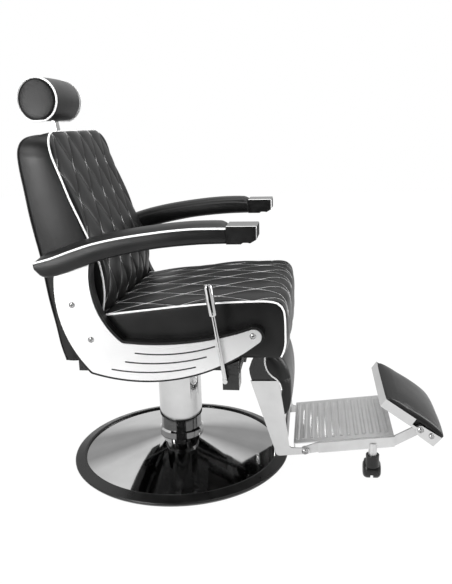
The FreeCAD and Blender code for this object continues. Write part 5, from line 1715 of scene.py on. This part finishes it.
@dataclass
class CalfPad(SweptCover):
    """Calf rest between the legs, piped where it meets the hinge castings.

    Attributes:
        round_edge: radius of its front edges.
        piped_from: how low its piping runs.
        upper: its front edge in section, from the bottom to the top.
        lower: its rear edge in section, from the bottom to the top.
    """

    half_width: float = 150.0
    crown: float = 4.0
    crown_square: float = 4.0
    bulge: float = 1.0
    round_edge: float = 30.0
    piped_from: float = 283.0
    cord: float = 2.3
    cuts: Station = (80, 96, 16)
    coarse: Coarse = ((0, 4), (0, 4), (0, 2))
    upper: Sequence[Point] = (
        (339, 209), (347, 217), (353, 271), (349.5, 314), (340, 351), (321, 378), (312, 383.5),
        (302, 386))
    lower: Sequence[Point] = (
        (335, 209), (330, 262), (324, 300), (314, 315), (299, 327), (286, 345), (281, 366), (281, 386))

    def place(self, i: int, j: int, k: int) -> Vector:
        """Find where a station of the pad's block is.

        Args:
            i: its number from the bottom up.
            j: its number from the right to the left.
            k: its number from the rear to the face.

        Returns:
            The place in millimetres.
        """
        share, across, level = self.shares[i], self.columns[j], self.levels[k]
        front, back = self.top.part(share), self.foot.part(share)
        full = (front - back).length
        reach, depth = rounded(across * self.half_width, level * full, self.half_width, full,
                               self.round_edge)
        flat = back.lerp(front, depth / full)
        if k == self.last[2]:
            flat -= self.rise(share, across)
        if j in (0, self.last[1]):
            reach += across * self.bulge * bow(level)
        return Vector((flat.x, reach, flat.y))

    def held(self, i: int, j: int, k: int) -> bool:
        """Whether a station is on the board or in an end seam."""
        return k == 0 or i in (0, self.last[0])

    def make(self) -> None:
        """Build the pad and its piping."""
        self.sew("calf_cover", "legrest", "calf_pad")
        edges = [[self.place(i, j, 0) for i in range(self.counts[0])] for j in (0, self.last[1])]
        lines = [[spot for spot in edge if spot.z > self.piped_from] for edge in edges]
        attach(CORDS.apply("calf_piping", lines, PIPING, Radius=self.cord), "legrest")


@dataclass
class FootPad(SweptCover):
    """Crowned cushion in the sloping tray of the foot pad.

    Attributes:
        pivot_x: where the tray's pin is.
        pivot_z: how high the pin is.
        slope: the tray's slope in degrees.
        pin_along: distance of the pin along the tray.
        pin_over: height of the pin over the tray's floor.
        narrow: half its width between the rails' brackets.
        step_at: distance along at which it narrows.
        step_run: length over which it narrows.
        step_top: height up to which it narrows.
        step_fade: height over which the narrowing ends.
        side_round: radius of its upper side edges.
        bound: levels below its top that aren't held by the tray.
        easing: how much of the filling's move it takes.
        upper: its upper edge along the tray.
        lower: its lower edge along the tray.
    """

    pivot_x: float = 720.0
    pivot_z: float = 173.0
    slope: float = 34.5
    pin_along: float = 133.6
    pin_over: float = 7.0
    wide: float = 149.5
    narrow: float = 138.5
    step_at: float = 104.0
    step_run: float = 7.0
    step_top: float = 24.0
    step_fade: float = 2.0
    crown: float = 8.0
    crown_square: float = 3.0
    side_round: float = 12.0
    bound: int = 2
    easing: float = 0.5
    cuts: Station = (110, 96, 12)
    coarse: Coarse = ((0, 5), (0, 4), (0, 2))
    upper: Sequence[Point] = (
        (3.4, 24), (5.5, 29), (12, 32.5), (40, 36), (80, 38), (114, 39), (150, 38), (180, 34),
        (197, 28), (204, 20), (205.5, 12))
    lower: Sequence[Point] = ((3.4, 3.4), (60, 3.4), (120, 3.4), (193, 3.4))

    def on_tray(self, along: float, y: float, over: float) -> Vector:
        """Turn a place in the tray into a place in the chair.

        Args:
            along: distance along the tray.
            y: distance across.
            over: height over the tray's floor.

        Returns:
            The place in millimetres.
        """
        lean = math.radians(self.slope)
        along, over = along - self.pin_along, over - self.pin_over
        return Vector((self.pivot_x + along * math.cos(lean) + over * math.sin(lean), y,
                       self.pivot_z - along * math.sin(lean) + over * math.cos(lean)))

    def place(self, i: int, j: int, k: int) -> Vector:
        """Find where a station of the cushion's block is.

        Args:
            i: its number from the upper to the lower end of the slope.
            j: its number from the right to the left.
            k: its number from the tray's floor to the top.

        Returns:
            The place in millimetres.
        """
        share, across, level = self.shares[i], self.columns[j], self.levels[k]
        top, foot = self.top.part(share), self.foot.part(share)
        flat = foot.lerp(top, level)
        passed = min(max((flat.x - self.step_at) / self.step_run, 0.0), 1.0)
        under = min(max((self.step_top - flat.y) / self.step_fade, 0.0), 1.0)
        half = self.wide + (self.narrow - self.wide) * passed * under
        full = (top - foot).length
        reach, depth = rounded(across * half, level * full, half, full, self.side_round)
        flat = foot.lerp(top, depth / full)
        if k == self.last[2]:
            flat += self.rise(share, across)
        return self.on_tray(flat.x, reach, flat.y)

    def held(self, i: int, j: int, k: int) -> bool:
        """Whether the tray holds a station."""
        return k < self.last[2] - self.bound

    def give(self, i: int, j: int, k: int) -> float:
        """How much of the filling's move a station takes."""
        return self.easing

    def make(self) -> None:
        """Build the cushion."""
        self.sew("foot_cushion", "foot_pad", "pad_cushion")


@dataclass
class SideTrim:
    """Black trim on the bright sides: lines in the plates and inlays in the arm caps.

    Attributes:
        plate_face: distance across of the side plates' outer faces.
        groove_sunk: how much of that radius lies under the face.
        grooves: rear end, middle and front end of each line.
        inlay_gap: how far an inlay's back stands off its face.
        inlay_thick: how far its front stands off.
    """

    plate_face: float = 299.0
    groove_radius: float = 1.9
    groove_sunk: float = 0.45
    grooves: Sequence[tuple[Point, Point, Point]] = (
        ((-55, 441), (14, 438), (162, 463)),
        ((-83, 416), (12, 413), (139, 434)),
        ((-122, 394), (-18, 387), (109, 405)))
    arm_inner: float = 250.0
    arm_outer: float = 333.0
    inlay_gap: float = 0.05
    inlay_thick: float = 1.2
    inlay: Sequence[Point] = (
        (203.3, 740.6), (240, 740.6), (243, 744), (262, 744), (268, 747), (271.5, 753), (271.5, 778),
        (269, 781), (265, 782.5), (203.3, 782.5))

    def groove_lines(self) -> list[list[Vector]]:
        """Run the grooves over both side plates, as parts of circles.

        Returns:
            The lines, in millimetres.
        """
        across = self.plate_face - self.groove_radius * self.groove_sunk
        return [[Vector((spot.x, across * side.value, spot.y)) for spot in circle_arc(*groove)]
                for groove in self.grooves for side in Side]

    def inlays(self) -> bpy.types.Object:
        """Build the black inlays on both faces of both arm caps.

        Returns:
            One object with all of them.
        """
        form = bmesh.new()
        for side, (base, away) in itertools.product(Side, ((self.arm_inner, -1), (self.arm_outer, 1))):
            faces = [(base + away * off) * side.value for off in (self.inlay_gap, self.inlay_thick)]
            loops = [[form.verts.new(Vector((x, y, z)) * MM) for x, z in self.inlay] for y in faces]
            bridge(form, loops)
            for loop in loops:
                form.faces.new(loop)
        return dress(shaped("arm_cap_inlays", form, smooth=False), BLACK_PLASTIC)

    def make(self) -> None:
        """Build all of the trim."""
        lines = CORDS.apply("side_plate_lines", self.groove_lines(), BLACK_PLASTIC,
                            Radius=self.groove_radius)
        for piece in (lines, self.inlays()):
            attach(piece, "seat")
            log.info("%s: %d faces", piece.name, len(piece.data.polygons))


@dataclass(frozen=True)
class Fastening:
    """Screws or bolts of one kind, at the same places on both sides of the chair.

    Attributes:
        tree: the tree that makes one.
        spots: their places, seen from the side.
        face: distance across of the faces that they sit on.
        node: the CAD node that they stand for or move with.
        stands: whether they stand for that node.
        sizes: radius and height of a head, radius of its washer, radius and depth of its shank.
        line: length of the line that points a screw outwards.
    """

    name: str
    tree: HeadTree
    spots: Sequence[Point]
    face: float
    node: str
    stands: bool
    sizes: tuple[float, float, float, float, float]
    line: float = 10.0

    def make(self) -> None:
        """Build them as one mesh."""
        lines = [[Vector((x, (self.face + out) * side.value, z)) for out in (0.0, self.line)]
                 for side in Side for x, z in self.spots]
        piece = self.tree.apply(self.name, lines, ZINC, **dict(zip(HeadTree.inputs, self.sizes)))
        if self.stands:
            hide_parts(self.node)
        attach(piece, body_of(self.node))
        log.info("%s: %d faces", self.name, len(piece.data.polygons))


FASTENINGS = (
    Fastening("side_screws", CROSS_HEADS, ((-218, 573), (-173, 477), (262, 493)), 299.0,
              "plate_screws", True, (5.8, 2.4, 8.2, 3.0, 20.0)),
    Fastening("leg_bolts", SOCKET_HEADS, ((395, 95),), 152.4, "foot_bolts", True,
              (8.4, 4.0, 9.4, 5.5, 11.0)),
    Fastening("pad_pivots", SOCKET_HEADS, ((720, 173),), 152.4, "pad_bolts", True,
              (7.8, 3.2, 9.0, 4.5, 8.0)),
    Fastening("tray_rivets", SOCKET_HEADS, ((750.9, 155.4),), 155.0, "pad_tray", False,
              (6.6, 2.4, 7.4, 3.0, 4.0)),
)


@dataclass
class LeverGrip:
    """Chromed tube that slips over the end of the recline lever.

    Attributes:
        pivot: where the lever turns, in millimetres.
        lean: degrees that the lever leans to the rear.
        starts: how far up the lever the grip starts.
        profile: distances along the grip and its radii.
    """

    pivot: tuple[float, float, float] = (188.0, -310.0, 372.0)
    lean: float = 8.6
    starts: float = 180.0
    profile: Sequence[Point] = (
        (0, 0), (0, 9.4), (0.5, 10.4), (1.6, 11.0), (4, 11.2), (74, 11.2), (79, 11.0), (81.4, 10.2),
        (82.4, 9.0), (82.4, 7.6), (81.2, 6.8), (81.2, 0))

    def make(self) -> None:
        """Build the grip."""
        lean = math.radians(self.lean)
        way = Vector((-math.sin(lean), 0, math.cos(lean)))
        grip = turned("chrome_lever_grip", self.profile, Vector(self.pivot) + way * self.starts, way)
        dress(grip, CHROME)
        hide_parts("lever_grip")
        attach(grip, body_of("lever_grip"))
        log.info("chrome_lever_grip: %d faces", len(grip.data.polygons))


# Studio


@dataclass(frozen=True)
class Card:
    """A glowing card that only mirrors see.

    Attributes:
        corners: its four corners, in metres.
        stops: heights in metres, and the card's brightness there.
    """

    name: str
    corners: Sequence[tuple[float, float, float]]
    stops: Sequence[Point]

    def material(self) -> bpy.types.Material:
        """Build the card's glow, from its lowest stop to its highest.

        Returns:
            The material.
        """
        material = empty_material(self.name + "_paper")
        tree = material.node_tree
        where = add_node(tree, "ShaderNodeTexCoord")
        split = add_node(tree, "ShaderNodeSeparateXYZ", None, {"Vector": where.outputs["Object"]})
        low, high = self.stops[0][0], self.stops[-1][0] + MM
        share = add_node(tree, "ShaderNodeMapRange", {"From Min": low, "From Max": high},
                         {"Value": split.outputs["Z"]})
        shade = add_node(tree, "ShaderNodeValToRGB", None, {"Fac": share.outputs["Result"]})
        stops = shade.color_ramp.elements
        stops[0].color, stops[1].color = grey(self.stops[0][1]), grey(self.stops[-1][1])
        for height, level in self.stops[1:-1]:
            stops.new((height - low) / (high - low)).color = grey(level)
        glow = add_node(tree, "ShaderNodeEmission", {"Strength": 1.0}, {"Color": shade.outputs["Color"]})
        add_node(tree, "ShaderNodeOutputMaterial", None, {"Surface": glow.outputs["Emission"]})
        return material

    def make(self) -> None:
        """Stand the card up, out of sight of the camera."""
        card = flat_sheet(self.name, self.corners, self.material())
        card.visible_camera = card.visible_diffuse = card.visible_shadow = False
        card.visible_transmission = False


@dataclass(frozen=True)
class Lamp:
    """A soft lamp that looks at the middle of the chair.

    Attributes:
        place: where it is, in metres.
        size: its width and height, in metres.
        aim: the point that it looks at, in metres.
    """

    name: str
    place: tuple[float, float, float]
    size: Point
    power: float
    aim: tuple[float, float, float] = (0.05, 0.0, 0.55)

    def make(self) -> None:
        """Hang the lamp."""
        data = bpy.data.lights.new(self.name, "AREA")
        data.shape = "RECTANGLE"
        data.size, data.size_y = self.size
        data.energy = self.power
        turn = (Vector(self.aim) - Vector(self.place)).to_track_quat("-Z", "Y").to_matrix().to_4x4()
        in_scene(self.name, data).matrix_world = Matrix.Translation(self.place) @ turn


def grey(level: float) -> tuple[float, float, float, float]:
    """A neutral linear colour."""
    return level, level, level, 1.0


def flat_sheet(name: str, corners: Sequence[tuple[float, float, float]],
               material: bpy.types.Material) -> bpy.types.Object:
    """Lay a flat four-cornered sheet that isn't part of the chair.

    Args:
        name: the sheet's name.
        corners: its corners, in metres.
        material: what it is made of.

    Returns:
        The sheet.
    """
    mesh = bpy.data.meshes.new(name)
    mesh.from_pydata(corners, [], [(0, 1, 2, 3)])
    mesh.materials.append(material)
    sheet = in_scene(name, mesh)
    return sheet


@dataclass
class Studio:
    """Camera, floor, backdrop and light.

    Attributes:
        camera_at: the camera's place, in metres.
        yaw: degrees that it turns to its right from looking along +Y.
        pitch: degrees that it looks down.
        roll: degrees that it leans.
        focal: focal length in pixels of the photograph's frame.
        offset: where the optical axis meets the frame, in pixels from its middle.
        surround: light from all round.
        mirrored_low: brightness of the surround in mirrors, level with the chair.
        mirrored_from: height of view above which mirrors see white.
        floor_half: half the floor's width, in metres.
        floor_glow: brightness of the floor that the camera sees.
        floor_seen: share of that glow against the shadowed paper, to the camera.
        floor_mirrored: the same share in mirrors.
        cards: what mirrors see besides.
    """

    camera_at: tuple[float, float, float] = (0.4162, -1.9427, 1.0300)
    yaw: float = 7.436
    pitch: float = 14.161
    roll: float = -1.525
    focal: float = 668.9
    offset: tuple[float, float] = (2.61, -0.33)
    surround: float = 0.7
    mirrored_low: float = 0.45
    mirrored_from: float = 0.8
    floor_half: float = 8.0
    floor_glow: float = 1.02
    floor_seen: float = 0.965
    floor_mirrored: float = 0.6
    cards: Sequence[Card] = (
        Card("backdrop", ((-4, 1.6, 0), (4, 1.6, 0), (4, 1.6, 3), (-4, 1.6, 3)),
             ((0.0, 0.85), (0.25, 0.80), (0.5, 0.42), (0.75, 0.48), (1.05, 0.42), (1.5, 0.90),
              (2.2, 1.0))),
        Card("dark_screen", ((-0.12, 0.5, 0.595), (0.42, 0.5, 0.595), (0.42, 0.5, 0.76),
                             (-0.12, 0.5, 0.76)), ((0.595, 0.06), (0.76, 0.10))),
        Card("dark_wall", ((-0.75, -2.2, 0), (1.5, -2.2, 0), (1.5, -2.2, 1.9), (-0.75, -2.2, 1.9)),
             ((0.0, 0.02), (1.9, 0.05))),
        Card("dark_canopy", ((-0.75, -2.2, 1.9), (0.7, -2.2, 1.9), (0.7, -0.4, 2.1),
                             (-0.75, -0.4, 2.1)), ((1.9, 0.04), (2.1, 0.04))),
        Card("dark_mat", ((-0.75, -1.72, 0.002), (0.7, -1.72, 0.002), (0.7, -2.2, 0.002),
                          (-0.75, -2.2, 0.002)), ((0.0, 0.03), (0.1, 0.03))))
    lamps: Sequence[Lamp] = (
        Lamp("key_softbox", (-1.6, -2.6, 2.6), (1.6, 1.6), 45),
        Lamp("top_softbox", (0.3, -0.2, 3.0), (2.0, 2.0), 35),
        Lamp("left_strip", (-1.35, -2.4, 0.95), (0.8, 0.8), 32),
        Lamp("right_softbox", (2.3, 0.6, 1.1), (1.0, 1.4), 30))

    def make_camera(self) -> None:
        """Place the camera as the photograph was taken."""
        a, p, r = (math.radians(angle) for angle in (self.yaw, self.pitch, self.roll))
        ahead = Vector((-math.sin(a) * math.cos(p), math.cos(a) * math.cos(p), -math.sin(p)))
        right = Vector((math.cos(a), math.sin(a), 0))
        up = right.cross(ahead)
        right, up = (right * math.cos(r) + up * math.sin(r), up * math.cos(r) - right * math.sin(r))
        data = bpy.data.cameras.new("camera")
        data.sensor_fit = "AUTO"
        data.sensor_width = SENSOR_WIDTH
        data.lens = self.focal * SENSOR_WIDTH / IMAGE_HEIGHT
        data.shift_x = -self.offset[0] / IMAGE_HEIGHT
        data.shift_y = self.offset[1] / IMAGE_HEIGHT
        camera = in_scene("camera", data)
        turn = Matrix((right, up, -ahead)).transposed().to_4x4()
        camera.matrix_world = Matrix.Translation(self.camera_at) @ turn
        bpy.context.scene.camera = camera

    def make_world(self) -> None:
        """Light the chair from all round, with a white surround for camera and mirror rays."""
        world = bpy.data.worlds.new("studio")
        world.use_nodes = True
        tree = world.node_tree
        tree.nodes.clear()
        path = add_node(tree, "ShaderNodeLightPath")
        seen = add_node(tree, "ShaderNodeMath", None,
                        {0: path.outputs["Is Camera Ray"], 1: path.outputs["Is Transmission Ray"]},
                        operation="MAXIMUM")
        where = add_node(tree, "ShaderNodeTexCoord")
        split = add_node(tree, "ShaderNodeSeparateXYZ", None, {"Vector": where.outputs["Generated"]})
        tall = add_node(tree, "ShaderNodeValToRGB", None, {"Fac": split.outputs["Z"]})
        low, high = tall.color_ramp.elements
        low.position, low.color = 0.0, grey(self.mirrored_low)
        high.position, high.color = self.mirrored_from, grey(1.0)
        plain = add_node(tree, "ShaderNodeMixRGB", {"Color1": grey(self.surround)},
                         {"Fac": path.outputs["Is Glossy Ray"], "Color2": tall.outputs["Color"]})
        final = add_node(tree, "ShaderNodeMixRGB", {"Color2": grey(1.0)},
                         {"Fac": seen.outputs["Value"], "Color1": plain.outputs["Color"]})
        light = add_node(tree, "ShaderNodeBackground", {"Strength": 1.0},
                         {"Color": final.outputs["Color"]})
        add_node(tree, "ShaderNodeOutputWorld", None, {"Surface": light.outputs["Background"]})
        bpy.context.scene.world = world

    def make_floor(self) -> None:
        """Lay a white floor that keeps a faint shadow, also where metal mirrors it."""
        material = empty_material("white_studio_paper")
        tree = material.node_tree
        path = add_node(tree, "ShaderNodeLightPath")
        mirrored = add_node(tree, "ShaderNodeMath", {1: self.floor_mirrored},
                            {0: path.outputs["Is Glossy Ray"]}, operation="MULTIPLY")
        shown = add_node(tree, "ShaderNodeMath", {1: self.floor_seen},
                         {0: path.outputs["Is Camera Ray"], 2: mirrored.outputs["Value"]},
                         operation="MULTIPLY_ADD")
        paper = add_node(tree, "ShaderNodeBsdfDiffuse", {"Color": linear("#f2f2f2")})
        glow = add_node(tree, "ShaderNodeEmission", {"Color": grey(1.0), "Strength": self.floor_glow})
        both = add_node(tree, "ShaderNodeMixShader", None,
                        {"Fac": shown.outputs["Value"], 1: paper.outputs["BSDF"],
                         2: glow.outputs["Emission"]})
        add_node(tree, "ShaderNodeOutputMaterial", None, {"Surface": both.outputs["Shader"]})
        half = self.floor_half
        flat_sheet("floor", ((-half, -half, 0), (half, -half, 0), (half, half, 0), (-half, half, 0)),
                   material)

    def make(self) -> None:
        """Set the whole studio up."""
        bpy.context.scene.view_settings.view_transform = "Standard"
        self.make_camera()
        self.make_world()
        self.make_floor()
        for thing in (*self.cards, *self.lamps):
            thing.make()
            log.info("%s set up", thing.name)


def dress_frame() -> None:
    """Give every CAD node the finish of its record slot."""
    slots = {item["node"]: item["material_slot"] for item in frame["record"]["subparts"]}
    for name, node in frame["nodes"].items():
        finish = NODE_FINISHES.get(name, SLOT_FINISHES[slots[name]])
        if not node.material_slots:
            node.data.materials.append(finish.material())
        for slot in node.material_slots:
            slot.material = finish.material()
    log.info("%d nodes dressed", len(frame["nodes"]))


def main() -> None:
    """Build the chair's looks in order."""
    Studio().make()
    dress_frame()
    SeatCushion().make()
    BackPad().make()
    lines = [ArmPad(side).make() for side in Side]
    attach(CORDS.apply("arm_piping", lines, PIPING), "seat")
    for part in (HeadRoll(), CalfPad(), FootPad(), SideTrim(), *FASTENINGS, LeverGrip()):
        part.make()


if __name__ == "__main__":
    main()
